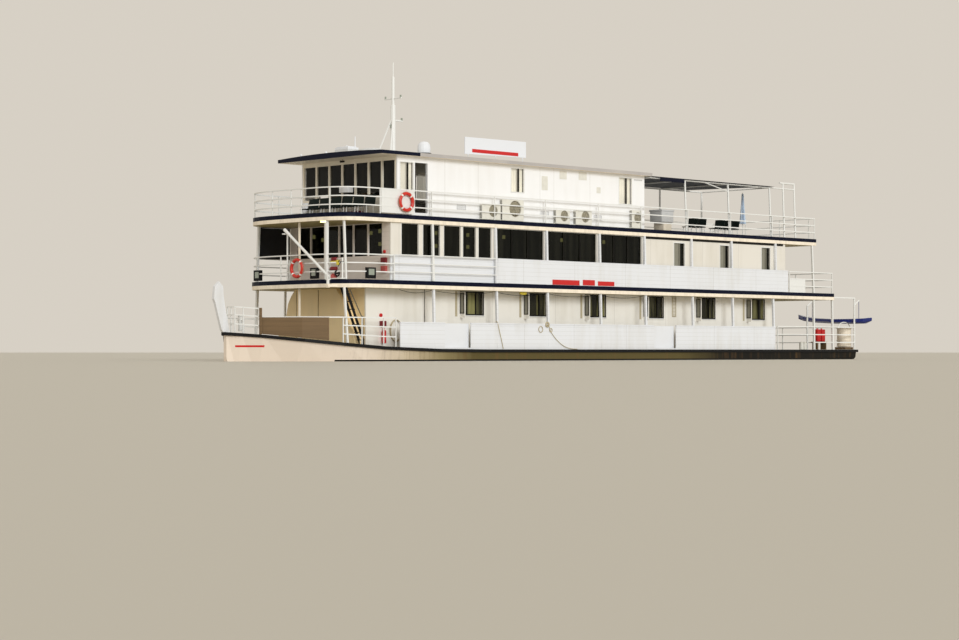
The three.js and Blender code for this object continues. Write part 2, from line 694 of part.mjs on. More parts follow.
const bowInset = 170;
const bowEnd = -5790;
const bowTurn = -5230;
const screenAft = -3450;
const bowTop = waterline + 1620;
function bowRail(side) {
    const foot = (station) => [station, side * (deckEdge(station) - bowInset), deckHeight(station)];
    const aftFeet = [-500, -1100, -3000, -4300, -5200, bowTurn].map(foot);
    const openFeet = [-500, -1100, -2950].map(foot);
    const foreFeet = [bowTurn, -5600, bowEnd].map(foot);
    const parts = [railLine(aftFeet.map(([station, y]) => [station, y, bowTop - railRadius]))];
    for (const share of [0.34, 0.67]) {
        parts.push(railLine(openFeet.map(([station, y, deck]) => [station, y, deck + share * (bowTop - deck)])));
    }
    for (const level of [330, 660, railHeight]) {
        parts.push(railLine(foreFeet.map(([station, y, deck]) => [station, y, deck + level])));
    }
    for (const [station, y, deck] of [-500, -1100, -2100, -2950, -4300].map(foot)) {
        parts.push(railPost(station, y, deck - 40, bowTop - 5));
    }
    for (const [station, y, deck] of foreFeet) {
        parts.push(railPost(station, y, deck - 40, deck + railHeight + 10));
    }
    return union(parts);
}
const bowPosts = [
    sidePost(-2760, mainDeck, 2955, midUnderside, 2745, 70),
    sidePost(-2350, mainDeck, -2970, midUnderside, -2850),
    sidePost(-900, mainDeck, -3010, midUnderside, -2950, 70),
];
const bowEndHalf = deckEdge(bowEnd) - bowInset;
const bowCross = [330, 660, railHeight].map((level) => block(bowEnd - 18, bowEnd + 18, -bowEndHalf, bowEndHalf,
    deckHeight(bowEnd) + level - 18, deckHeight(bowEnd) + level + 18));
const bowCentre = railPost(bowEnd, 0, deckHeight(bowEnd) - 40, deckHeight(bowEnd) + railHeight);
place('bow_rail', union([bowRail(1), bowRail(-1), ...bowPosts, ...bowCross, bowCentre]).subtract(hullClear)
    .subtract(strakeBand), 'white');

// Fore bay under the middle deck, narrower at its head, and the stair beside it

// Columns: half-breadth, height
const bayHalves = [[2340, mainDeck], [2110, waterline + 1170], [1720, waterline + 1690], [1600, waterline + 2170],
    [1430, waterline + 2440], [1190, mainHouseTop]];
const bayProfile = [...bayHalves, ...bayHalves.map(([half, height]) => [-half, height]).reverse()];
const bayFront = -1850;
const foreBay = frontSolid(bayProfile, bayFront, mainHouse.front + joined);
const frontInner = mainHouse.half - mainHouse.wall - gap;
const recessSide = -1020;
const frontWalls = [
    block(mainHouse.front, mainHouse.front + mainHouse.wall, 0, frontInner, underDeck, mainHouseTop),
    block(mainHouse.front, recess + mainHouse.wall, recessSide, recessSide + mainHouse.wall, underDeck, mainHouseTop),
    block(recess, recess + mainHouse.wall, -frontInner, recessSide + joined, underDeck, mainHouseTop),
];
place('main_house_front', union([foreBay, ...frontWalls]).subtract(hullClear), 'cream');

const stairTreads = 8;
const stair = { foot: -1700, head: -2620, inner: 2345, outer: 2630, string: 40, tread: 75 };
function stairway() {
    const low = deckHeight(stair.foot) + 40;
    const high = midDeck - 120;
    const rise = (high - low) / stairTreads;
    const run = (stair.head - stair.foot) / stairTreads;
    const slope = [[stair.foot, low - 30], [stair.foot, low + 190], [stair.head, high + 60], [stair.head, high - 190]];
    const parts = [
        sideSolid(slope, stair.inner, stair.inner + stair.string),
        sideSolid(slope, stair.outer - stair.string, stair.outer),
    ];
    for (let i = 0; i < stairTreads; i++) {
        const s = stair.foot + run * (i + 0.5);
        const z = low + rise * (i + 0.5);
        parts.push(block(s - stair.tread, s + stair.tread, stair.inner + 5, stair.outer - 5, z, z + 30));
    }
    return union(parts).subtract(hullClear);
}
place('main_stair', stairway(), 'black');

// Boarded screen outside the port bow rail, with a timber post at its fore end

const screen = { clear: 45, thick: 24, top: waterline + 1590, foot: 30 };
function bowScreen() {
    const inner = (station) => deckEdge(station) - bowInset + screen.clear;
    const boards = loft([bowTurn, -5200, -4300, screenAft].map((station) => {
        const [x, y, low] = [stationX(station), inner(station), deckHeight(station) + screen.foot];
        return [[x, y, low], [x, y + screen.thick, low], [x, y + screen.thick, screen.top], [x, y, screen.top]];
    }));
    const y = inner(bowTurn);
    const post = block(bowTurn - 75, bowTurn + 5, y + 10, y + 80, deckHeight(bowTurn - 75) + 5, waterline + 1930);
    return boards.add(post);
}
place('bow_screen', bowScreen(), 'wood');

// Boom at the front of the middle deck: a turning head and a spar, resting on a crutch pole

const bracketTop = boomFoot.z - 120;
function boomBracket() {
    const { station, y } = boomFoot;
    const shelf = block(station - 70, -2860, y - 90, y + 90, bracketTop - 100, bracketTop - 15);
    const socket = bar([station, y, bracketTop - 130], [station, y, bracketTop], 75, 12);
    return union([shelf, socket]);
}
const stairWell = block(stair.head - 50, stair.foot + 60, stair.inner - 25, stair.outer + 15, midDeck - 400,
    midDeck + 50);
const deckJoin = -1500;
const midSlab = deckSlab(midHalf, midAft, midSquare, midDeck);
const sideReach = midHalf + 100;
const aheadOfJoin = block(frontTip - 50, deckJoin, -sideReach, sideReach, midDeck - 400, midDeck + 50);
const abaftJoin = block(deckJoin + gap, midAft + 50, -sideReach, sideReach, midDeck - 400, midDeck + 50);
place('mid_deck', midSlab.intersect(abaftJoin), 'white');
place('mid_deck_fore', union([midSlab.intersect(aheadOfJoin).subtract(stairWell), boomBracket(),
    hungPost(deckHeight(forePost.station) + 12, midDeck)]), 'white');
const headFoot = bracketTop + 10;
function boomHead() {
    const post = bar([boomFoot.station, boomFoot.y, headFoot], [boomFoot.station, boomFoot.y, boomFoot.z + 60], 55, 12);
    const cheek = (s) => block(s, s + 22, boomFoot.y - 55, boomFoot.y + 55, boomFoot.z + 40, boomFoot.z + 230);
    const base = block(boomFoot.station - 71, boomFoot.station + 71, boomFoot.y - 55, boomFoot.y + 55,
        boomFoot.z + 30, boomFoot.z + 62);
    return union([post, base, cheek(boomFoot.station - 71), cheek(boomFoot.station + 49)]);
}
place('boom_head', boomHead(), 'white');
function boomSpar() {
    const root = [boomFoot.station, boomFoot.y, boomFoot.z + 170];
    const along = (d) => [boomFoot.station, root[1] - d * Math.cos(boomRise), root[2] + d * Math.sin(boomRise)];
    return union([
        bar(along(-50), along(280), 42, 10),
        bar(along(240), along(boomLength - 100), 52, 10),
        bar(along(boomLength - 320), along(boomLength), 62, 10),
    ]);
}
place('boom_spar', boomSpar(), 'white');

// Mast on the roof with its legs, spreaders and radar arm

const mastStation = 2050;
const mastTop = waterline + 11565;
function mast() {
    const foot = roofCrown - 30;
    const parts = [
        bar([mastStation, 0, foot], [mastStation, 0, waterline + 9900], 95, 8),
        bar([mastStation, 0, waterline + 9850], [mastStation, 0, waterline + 11000], 60, 8),
        bar([mastStation, 0, waterline + 10950], [mastStation, 0, mastTop], 22, 6),
        bar([mastStation, -480, waterline + 10160], [mastStation, 480, waterline + 10160], 28, 6),
        bar([mastStation, 0, waterline + 9320], [mastStation + 480, 0, waterline + 9320], 35, 6),
        bar([mastStation - 520, -420, foot], [mastStation, 0, waterline + 9500], 32, 6),
        bar([mastStation - 520, 420, foot], [mastStation, 0, waterline + 9500], 32, 6),
    ];
    return union(parts).subtract(frontSolid([[-roofHalf, roofSoffit], [roofHalf, roofSoffit],
        ...camber.map(([y, z]) => [y, z + gap])], roofFront, roofAft));
}
place('mast', mast(), 'white');

const roofClear = frontSolid([[-roofHalf, roofSoffit], [roofHalf, roofSoffit],
    ...camber.map(([y, z]) => [y, z + gap])], roofFront - 5, roofAft + 5);
const roofBase = roofEdge + 10;
const roofFittings = [
    turned([[0, roofBase], [230, roofBase], [255, roofBase + 340], [235, roofBase + 500],
        [160, roofBase + 600], [0, roofBase + 640]], 2300, 1500),
    turned([[0, roofBase], [520, roofBase], [500, roofBase + 150], [300, roofBase + 210],
        [0, roofBase + 225]], -150, 1250, 20),
    block(-950, -420, 60, 820, roofBase, roofBase + 260),
    bar([-560, 780, roofBase], [-560, 780, waterline + 8450], 22),
    sideSolid([[3970, waterline + 8010], [3970, waterline + 8670], [7320, waterline + 8690],
        [7320, waterline + 8060]], 1990, 2030),
    ...[4150, 5650, 7150].map((station) => bar([station, 2010, roofBase - 5], [station, 2010, waterline + 8100], 18)),
];
place('upper_roof', union([roof, ...roofFittings]), 'white');

// Cooling units along the port side of the upper house

// Columns: station, width, height
const coolers = [[4020, 1000, 610], [5110, 1180, 860], [8110, 800, 580], [9260, 930, 610], [12620, 610, 780]];
const coolerDepth = { inner: upperHouse.half + 10, outer: upperHouse.half + 145 };
function coolerRow() {
    const foot = upperFloor + 20;
    const middle = (coolerDepth.inner + coolerDepth.outer) / 2;
    const parts = [block(coolers[0][0], 13200, middle - 20, middle + 20, upperFloor, foot + joined)];
    for (const [station, width, height] of coolers) {
        const body = block(station, station + width, coolerDepth.inner, coolerDepth.outer, foot, foot + height - 40);
        const fanAt = (y) => [station + width * 0.6, y, foot + height * 0.55];
        const fan = bar(fanAt(coolerDepth.outer - 50), fanAt(coolerDepth.outer + 50), Math.min(width, height) * 0.36, 14);
        parts.push(body.subtract(fan));
    }
    return union(parts);
}
place('cooling_units', coolerRow(), 'cream');

// Life rings, each a ring with a flat face to its rail

function lifeRing(name, station, y, z, facing) {
    const ring = new THREE.TorusGeometry(310, 62, 8, 20);
    ring.rotateX(Math.PI / 2);
    if (facing === 'front') ring.rotateZ(Math.PI / 2);
    ring.translate(stationX(station), y, z);
    place(name, solid(ring), 'red');
}
lifeRing('life_ring_front', frontTip + 70 - railRadius - 66, 560, midDeck + 437, 'front');
lifeRing('life_ring_side', 0, upperRailHalf + railRadius + 66, upperDeck + 475, 'side');

// Awning over the after part of the upper deck: a frame of posts and beams, and its cover

const awningPosts = [16090, 18940, 21820];
const awningAftPosts = [22780, 23580];
const awningFore = 13850;
const awningTop = waterline + 7620;
const awningSide = { foot: 2900, head: 2813, inner: -1080 };
const beamRadius = 32;
function awningFrame() {
    const { foot, head, inner } = awningSide;
    const beamHeight = awningTop - 20;
    const upperBar = awningTop + 225;
    const leaning = (station, top) => bar([station, foot, upperFloor + 2], [station, head, top], 42, 6);
    const parts = [
        bar([awningFore, head, beamHeight], [awningAftPosts[1] + 20, head, beamHeight], beamRadius, 6),
        bar([awningFore, inner, beamHeight], [awningPosts[2] + 40, inner, beamHeight], beamRadius, 6),
        bar([22550, head, upperBar], [awningAftPosts[1] + 20, head, upperBar], 45, 6),
    ];
    for (const station of [awningFore + 40, ...awningPosts]) {
        parts.push(bar([station, inner - 40, beamHeight], [station, head + 40, beamHeight], beamRadius, 6));
    }
    for (const station of awningPosts) {
        parts.push(leaning(station, awningTop));
        parts.push(bar([station, inner, upperFloor + 2], [station, inner, awningTop], 42, 6));
    }
    parts.push(bar([awningPosts[1], head + 15, awningTop - 340], [awningPosts[1] - 1600, head, beamHeight], 26, 6));
    for (const station of awningAftPosts) parts.push(leaning(station, upperBar));
    return union(parts);
}
place('awning_frame', awningFrame(), 'white');
const coverCorners = [[awningFore, 2960], [22050, 2960], [20900, -1150], [awningFore, -1150]];
place('awning_cover', planSolid(coverCorners, awningTop + 14, awningTop + 44), 'canvas');

// Canoe hung across the stern under the davits

const canoeCentre = { station: 28040, y: 1740, z: waterline + 1750 };
const canoeHalf = 2090;
const canoeSkin = 40;
// Columns: share of the half length, share of the half breadth, rise of the keel and of the gunwale
const canoeRows = [[-1, 0.04, 240, 240], [-0.82, 0.5, 140, 140], [-0.5, 0.86, 60, 55], [0, 1, 0, 0],
    [0.5, 0.86, -20, 0], [0.82, 0.5, -10, 20], [1, 0.04, 110, 60]];
function canoeShell(inset, lift) {
    return loft(canoeRows.map(([t, share, keelRise, sheer]) => {
        const breadth = Math.max(380 * share - inset, 6);
        const y = canoeCentre.y + t * (canoeHalf - inset * 3);
        const low = canoeCentre.z - 100 + keelRise + inset;
        const high = canoeCentre.z + 100 + sheer + lift;
        const x = stationX(canoeCentre.station);
        return [[x + breadth * 0.45, y, low], [x + breadth, y, low + 80], [x + breadth, y, high],
            [x - breadth, y, high], [x - breadth, y, low + 80], [x - breadth * 0.45, y, low]];
    }));
}
function canoe() {
    const shell = canoeShell(0, 0).subtract(canoeShell(canoeSkin, 60));
    const thwart = (y) => block(canoeCentre.station - 245, canoeCentre.station + 245, y - 60, y + 60,
        canoeCentre.z + 40, canoeCentre.z + 70);
    const fall = (y) => bar([canoeCentre.station, y, canoeCentre.z + 55],
        [canoeCentre.station, y, davitTip.z - 70], 14);
    return union([shell, ...davits.flatMap(([, y]) => [thwart(y), fall(y)])]);
}
place('canoe', canoe(), 'blue');

// Shafts, propellers and rudders under the stern

const shaftHeight = 430;
const shaftY = 1550;
const propStation = 25000;
const propRadius = 380;
function propeller(side) {
    const y = side * shaftY;
    const shaft = bar([22800, y, shaftHeight], [propStation + 160, y, shaftHeight], 45, 10);
    const hub = bar([propStation - 110, y, shaftHeight], [propStation + 110, y, shaftHeight], 85, 12);
    const blades = [];
    for (let i = 0; i < 4; i++) {
        const blade = new THREE.BoxGeometry(26, 190, propRadius - 60);
        blade.translate(0, 0, 60 + (propRadius - 60) / 2);
        blade.applyMatrix4(new THREE.Matrix4().makeRotationZ(side * 0.6));
        blade.applyMatrix4(new THREE.Matrix4().makeRotationX(i * Math.PI / 2));
        blade.translate(stationX(propStation), y, shaftHeight);
        blades.push(solid(blade));
    }
    return union([shaft, hub, ...blades]);
}
const rudderStation = 26050;

// Strut and bearing that carry a shaft's after end
function shaftBracket(y) {
    return union([
        block(24500, 24620, y - 20, y + 20, shaftHeight + 60, 1100),
        bar([24470, y, shaftHeight], [24650, y, shaftHeight], 95, 12),
    ]).subtract(bar([24400, y, shaftHeight], [24700, y, shaftHeight], 52, 12));
}
place('hull', union([hullSolid, shaftBracket(shaftY), shaftBracket(-shaftY)]), 'cream');

for (const [side, word] of [[1, 'port'], [-1, 'starboard']]) {
    const y = side * shaftY;
    place(`propeller_${word}`, propeller(side), 'bronze');
    const blade = sideSolid([[25750, 150], [25700, 820], [26550, 820], [26620, 150]], y - 30, y + 30);
    place(`rudder_${word}`, blade.add(bar([rudderStation, y, 780], [rudderStation, y, 915], 50, 10)), 'black');
}

export default ship;
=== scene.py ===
import math

import bpy
from mathutils import Matrix, Vector


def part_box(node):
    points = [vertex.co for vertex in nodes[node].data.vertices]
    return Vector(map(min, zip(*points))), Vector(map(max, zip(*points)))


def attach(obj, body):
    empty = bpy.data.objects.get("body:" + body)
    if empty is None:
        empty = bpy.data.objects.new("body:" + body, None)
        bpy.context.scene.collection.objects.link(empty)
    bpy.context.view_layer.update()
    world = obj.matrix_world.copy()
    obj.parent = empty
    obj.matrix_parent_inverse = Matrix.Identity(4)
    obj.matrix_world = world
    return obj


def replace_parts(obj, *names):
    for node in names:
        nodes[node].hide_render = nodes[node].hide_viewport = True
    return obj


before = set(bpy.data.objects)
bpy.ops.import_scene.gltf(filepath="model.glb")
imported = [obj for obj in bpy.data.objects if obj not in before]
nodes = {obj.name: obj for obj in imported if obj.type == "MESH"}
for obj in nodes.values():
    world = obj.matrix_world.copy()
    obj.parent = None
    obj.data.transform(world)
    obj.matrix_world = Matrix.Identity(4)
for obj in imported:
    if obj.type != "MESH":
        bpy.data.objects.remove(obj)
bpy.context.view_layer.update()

# Stations run aft from frame 0, just behind the wheelhouse front; levels are metres above the water
ship = {
    "frameZero": 10.91,
    "centre": -0.29,
    "waterline": 1.0,
    "midDeck": 2.985,
    "upperDeck": 5.425,
}
sea = ship["waterline"]


def at(station, across, level):  # metres aft of frame 0, to port of the centreline, above the water
    return Vector((ship["frameZero"] - station, across + ship["centre"], level + sea))


# Camera and light

view = {
    "eye": (63.86, 61.43, 1.38),
    "heading": (-0.695, -0.719),
    "pitch": 0.83,
    "lens": 80.11,
}


def placed(name, data):
    made = bpy.data.objects.new(name, data)
    bpy.context.collection.objects.link(made)
    return made


camera = bpy.data.cameras.new("photoCamera")
camera.lens = view["lens"]
camera.sensor_width = 36
camera.clip_end = 500
cameraObject = placed("photoCamera", camera)
cameraObject.location = view["eye"]
heading = Vector((*view["heading"], math.tan(math.radians(view["pitch"]))))
cameraObject.rotation_euler = heading.to_track_quat("-Z", "Y").to_euler()
bpy.context.scene.camera = cameraObject
bpy.context.scene.view_settings.view_transform = "Standard"

light = {
    "sunTowards": (-0.26, -0.82, -0.36),
    "sunStrength": 1.62,
    "sunAngle": 24,
    "sunColour": (0.95, 0.985, 1.0),
    "skyColour": (1.0, 0.93, 0.82, 1),
    "skyStrength": 0.68,
    "floorColour": (0.56, 0.53, 0.46, 1),
}
sun = bpy.data.lights.new("softSun", "SUN")
sun.energy = light["sunStrength"]
sun.angle = math.radians(light["sunAngle"])
sun.color = light["sunColour"]
placed("softSun", sun).rotation_euler = Vector(light["sunTowards"]).to_track_quat("-Z", "Y").to_euler()
world = bpy.data.worlds.new("studio")
world.use_nodes = True
sky = world.node_tree.nodes["Background"].inputs
sky["Color"].default_value = light["skyColour"]
sky["Strength"].default_value = light["skyStrength"]
bpy.context.scene.world = world


# Paints, and shader maths in which a wire is a socket that takes part in Python sums

paints = {
    "white": (0.81, 0.825, 0.86),
    "cream": (0.87, 0.775, 0.64),
    # dull yellow for the decks' undersides: painted shade
    "lining": (0.47, 0.38, 0.17),
    "navy": (0.002, 0.004, 0.018),
    "black": (0.008, 0.008, 0.009),
    "deckGrey": (0.25, 0.26, 0.25),
    "hullCream": (0.82, 0.71, 0.6),
    "hullTan": (0.44, 0.35, 0.18),
    "hullOlive": (0.105, 0.08, 0.026),
    "hullBlack": (0.006, 0.005, 0.003),
    "bottom": (0.08, 0.03, 0.022),
    "red": (0.62, 0.012, 0.012),
    "ringRed": (0.72, 0.03, 0.015),
    "canvas": (0.025, 0.036, 0.062),
    "timber": (0.145, 0.09, 0.042),
    "canoeBlue": (0.006, 0.02, 0.2),
    "bronze": (0.42, 0.27, 0.09),
    "grime": (0.5, 0.45, 0.34),
}


def colourOf(paint):  # a paint's name, or a colour of its own
    return paints.get(paint, paint)


def tint(paint, scale=1.0):
    return (*(scale * c for c in colourOf(paint)), 1)


def wireMaths(operation, turnedRound=False):
    def method(self, other=0.0):
        first, second = (other, self) if turnedRound else (self, other)
        return self.maker.node("ShaderNodeMath", {"operation": operation}, {0: first, 1: second})

    return method


class Wire:
    def __init__(self, maker, socket):
        self.maker = maker
        self.socket = socket

    __add__ = __radd__ = wireMaths("ADD")
    __sub__ = wireMaths("SUBTRACT")
    __rsub__ = wireMaths("SUBTRACT", True)
    __mul__ = __rmul__ = wireMaths("MULTIPLY")
    __gt__ = wireMaths("GREATER_THAN")
    __lt__ = wireMaths("LESS_THAN")
    atLeast = wireMaths("MAXIMUM")
    atMost = wireMaths("MINIMUM")
    size = wireMaths("ABSOLUTE")
    fraction = wireMaths("FRACT")
    sine = wireMaths("SINE")

    def over(self, limit):  # how far it rises past a limit, never below nothing
        return (self - limit).atLeast(0.0)


class Finish:
    def __init__(self, colour, roughness=0.5, metallic=0.0, coat=0.0):
        self.material = bpy.data.materials.new("paint")
        self.material.use_nodes = True
        self.tree = self.material.node_tree
        self.shader = self.tree.nodes["Principled BSDF"]
        self.material.diffuse_color = tint(colour)
        self.feed("Metallic", metallic)
        self.feed("Coat Weight", coat)
        self.show(tint(colour), roughness)

    def node(self, kind, settings=None, sockets=None, out=0):
        made = self.tree.nodes.new(kind)
        for key, value in (settings or {}).items():
            setattr(made, key, value)
        for key, value in (sockets or {}).items():
            self.plug(made.inputs[key], value)
        return Wire(self, made.outputs[out])

    def plug(self, socket, value):
        if isinstance(value, Wire):
            self.tree.links.new(value.socket, socket)
        else:
            socket.default_value = value

    def feed(self, name, value):
        self.plug(self.shader.inputs[name], value)

    def show(self, shade, roughness=None, specular=None):
        self.feed("Base Color", shade)
        if roughness is not None:
            self.feed("Roughness", roughness)
        if specular is not None:
            self.feed("Specular IOR Level", specular)
        return self

    def place(self):
        return self.node("ShaderNodeTexCoord", out=3)

    def parts(self, vector):
        split = self.node("ShaderNodeSeparateXYZ", None, {0: vector})
        return [Wire(self, output) for output in split.socket.node.outputs]

    def axes(self):
        return self.parts(self.place())

    def facing(self):
        return self.parts(self.node("ShaderNodeNewGeometry", out=1))

    def stretched(self, scale):
        return self.node("ShaderNodeMapping", None, {0: self.place(), 3: scale})

    def noise(self, scale, detail=3.0, where=None):
        return self.node("ShaderNodeTexNoise", None, {0: where or self.place(), 2: scale, 3: detail})

    def mix(self, factor, first, second):
        return self.node("ShaderNodeMix", {"data_type": "RGBA"}, {0: factor, 6: first, 7: second}, 2)

    def bump(self, height, strength, distance):
        sockets = {"Strength": strength, "Distance": distance, "Height": height}
        self.feed("Normal", self.node("ShaderNodeBump", None, sockets))


def seamLines(paint, stations, width=0.016):  # dark joints at the given stations
    x, lines = paint.axes()[0], 0.0
    for station in stations:
        lines = ((x - at(station, 0, 0).x).size() < width / 2) + lines
    return lines


def weathered(colour, roughness=0.4, grime=0.5, boards=0.0, seams=(), foot=None, skirt=None):
    paint = Finish(colour, roughness)
    runs = paint.noise(1.0, 4.0, paint.stretched((3.0, 3.0, 0.3)))
    patches = paint.noise(0.5, 3.0)
    dirt = (runs * patches).over(0.22) * (2.2 * grime)
    z = paint.axes()[2]
    if foot is not None:  # splashes gather near a deck
        dirt = dirt + ((foot + 0.35 - z).over(0.0) * runs) * (0.9 * grime)
    shade = paint.mix(dirt, tint(colour), tint("grime"))
    lines = seamLines(paint, seams) * 0.6 if seams else 0.0
    boarded = 1.0
    if skirt is not None:  # the boards under the windows are whiter than the wall
        boarded = z < skirt + sea
        shade = paint.mix(boarded, shade, tint("white"))
    if boards:
        joint = ((z * (1 / boards)).fraction() < 0.07) * boarded
        lines = joint * 0.3 + lines
        paint.bump(1 - joint, 0.25, 0.006)
    if seams or boards:
        shade = paint.mix(lines.atMost(1.0) * 0.7, shade, tint("grime", 0.6))
    return paint.show(shade, roughness + 0.22 * patches)


def plainPaint(colour, roughness=0.42, metallic=0.0, coat=0.0, wear=0.12, grain=6.0):
    paint = Finish(colour, roughness, metallic, coat)
    patches = paint.noise(grain, 3.0)
    shade = paint.mix(patches.over(0.4) * (wear * 8), tint(colour), tint(colour, 0.74))
    return paint.show(shade, roughness + wear * patches, 0.18 if max(colourOf(colour)) < 0.1 else 0.5)


def bandedDeck(level, navyDepth=0.155):  # navy edge over cream, a dull yellow painted shade on the underside, grey on top
    surface = level + sea
    paint = Finish("cream", 0.4)
    z, upward = paint.axes()[2], paint.facing()[2]
    runs = paint.noise(1.0, 4.0, paint.stretched((5.0, 5.0, 0.6)))
    cream = paint.mix(runs.over(0.45) * 1.5, tint("cream", 1.12), tint("cream", 0.7))
    navy = paint.mix(runs.over(0.55), tint("navy"), (0.04, 0.05, 0.08, 1))
    shade = paint.mix(z > surface - navyDepth, cream, navy)
    # faces turned down take a dull yellow: painted shade under the deck
    shade = paint.mix(upward < -0.5, shade, paint.mix(runs, tint("lining"), tint("lining", 0.8)))
    walked = paint.mix(paint.noise(3.0, 4.0), tint("deckGrey"), tint("deckGrey", 1.3))
    shade = paint.mix((upward > 0.5) * (z > surface - 0.01), shade, walked)
    return paint.show(shade, 0.45 + 0.35 * (upward > 0.5), 0.1)


hullMarks = {
    # station where each colour begins, and the length over which it comes in
    "tan": (-2.4, 4.2),
    "olive": (0.1, 3.2),
    "black": (15.4, 2.8),
    "rust": (-4.5, 5.0),
    "stripe": {"stations": (-5.85, -5.14), "level": 0.548, "half": 0.036},
    # a thin black band at the water from station -3.2 aft: painted contact shadow
    "waterlineShadow": {"from": -3.2, "levels": (-0.03, 0.06)},
}


def hullPaint():  # cream at the bow, darkening through tan and olive to black at the stern
    paint = Finish("hullCream", 0.4)
    x, y, z = paint.axes()
    runs = paint.noise(1.2, 4.0, paint.stretched((1.6, 1.6, 0.5)))
    drips = paint.noise(1.0, 5.0, paint.stretched((6.0, 6.0, 0.4)))

    def aftOf(station, length):
        ahead = (at(station, 0, 0).x - x) * (1 / length)
        return (ahead + 0.35 * (runs - 0.5)).over(0.0).atMost(1.0)

    shade = paint.mix(aftOf(*hullMarks["tan"]), tint("hullCream"), tint("hullTan"))
    shade = paint.mix(aftOf(*hullMarks["olive"]), shade, tint("hullOlive"))
    shade = paint.mix(aftOf(*hullMarks["black"]), shade, tint("hullBlack"))
    shade = paint.mix(drips.over(0.52) * 2.0 * aftOf(*hullMarks["rust"]), shade, (0.16, 0.085, 0.03, 1))
    mark, band = hullMarks["stripe"], hullMarks["waterlineShadow"]
    fore, aft = (at(station, 0, 0).x for station in mark["stations"])
    stripe = (x > aft) * (x < fore) * ((z - (sea + mark["level"])).size() < mark["half"])
    shade = paint.mix(stripe * (y > 0), shade, tint("red"))
    below, above = band["levels"]
    # black along the waterline: painted contact shadow of the water on the hull
    shade = paint.mix((z < sea + above) * (x < at(band["from"], 0, 0).x), shade, tint("hullBlack"))
    shade = paint.mix(z < sea + below, shade, tint("bottom"))
    walked = paint.mix(runs, tint("deckGrey", 0.8), tint("deckGrey", 1.3))
    return paint.show(paint.mix(paint.facing()[2] > 0.8, shade, walked), 0.36 + 0.3 * runs, 0.22)


roofMarks = {"edge": 7.768, "front": -1.1, "navySide": 0.7, "top": 7.97}


def roofPaint():  # navy front and side edges on the wheelhouse, a grey worn edge further aft
    paint = Finish("white", 0.45)
    x, y, z = paint.axes()
    forward, across, upward = paint.facing()
    patches = paint.noise(0.8, 4.0)
    eaves = roofMarks["edge"] + sea
    top = paint.mix(patches, tint("white"), (0.52, 0.52, 0.49, 1))
    # faces turned down take a warm cream: painted warm shade under the roof's edge
    below = paint.mix(upward < -0.5, top, tint("cream", 1.1))
    side = (z < eaves + 0.002) * (upward > -0.5) * (upward < 0.5) * (across.size() > 0.7)
    front = (forward > 0.7) * (x > at(roofMarks["front"], 0, 0).x) * (z < eaves + 0.1)
    shade = paint.mix(side, below, paint.mix(patches, (0.36, 0.35, 0.36, 1), (0.62, 0.57, 0.52, 1)))
    shade = paint.mix(z > sea + roofMarks["top"], shade, tint("white"))
    navy = front + side * (x > at(roofMarks["navySide"], 0, 0).x)
    return paint.show(paint.mix(navy.atMost(1.0), shade, tint("navy")), specular=0.15)


def paneGlass(colour, alpha, glow=(0.015, 0.015, 0.01), clearSides=None):
    # streaks stand for curtains in the dark; panes beyond clearSides let more through
    pane = Finish(colour, 0.06)
    streaks = pane.noise(1.0, 2.0, pane.stretched((3.5, 3.5, 0.2)))
    if clearSides is not None:
        across = pane.axes()[1] - ship["centre"]
        alpha = alpha - (across.size() > clearSides) * (alpha - 0.1)
    pane.feed("Alpha", alpha)
    return pane.show(pane.mix(streaks.over(0.45) * 4.0, tint(colour), tint(glow)), specular=0.13)


def planksPaint(colour, pitch):
    paint = Finish(colour, 0.75)
    grain = paint.noise(1.0, 5.0, paint.stretched((1.5, 1.5, 40.0)))
    board = paint.noise(1.0, 1.0, paint.stretched((0.1, 0.1, 1 / pitch)))
    paint.bump(grain, 0.3, 0.004)
    shade = paint.mix(grain, tint(colour, 0.7), tint(colour, 1.35))
    return paint.show(paint.mix(board.over(0.3), shade, tint(colour, 1.8)))


def weave(colour, pitch, roughness=0.9):
    cloth = Finish(colour, roughness)
    x, y, z = cloth.axes()
    turns = 6.283 / pitch  # radians of the thread pattern in each metre
    cloth.bump((x * turns).sine() * (y * turns).sine(), 0.25, 0.002)
    cloth.feed("Sheen Weight", 0.1)
    return cloth.show(cloth.mix(cloth.noise(1.5, 4.0), tint(colour, 0.75), tint(colour, 1.3)))


def ringPaint():  # four white bands round a red life ring, told apart by the band attribute
    paint = Finish("ringRed", 0.34)
    band = paint.node("ShaderNodeAttribute", {"attribute_name": "band"}, out=2)
    red = paint.mix(paint.noise(9.0, 3.0), tint("ringRed"), tint("ringRed", 0.7))
    return paint.show(paint.mix(band, red, (0.85, 0.84, 0.8, 1)))


def glowing(lamp, colour, strength):
    lamp.feed("Emission Color", (*colour, 1))
    lamp.feed("Emission Strength", strength)
    return lamp


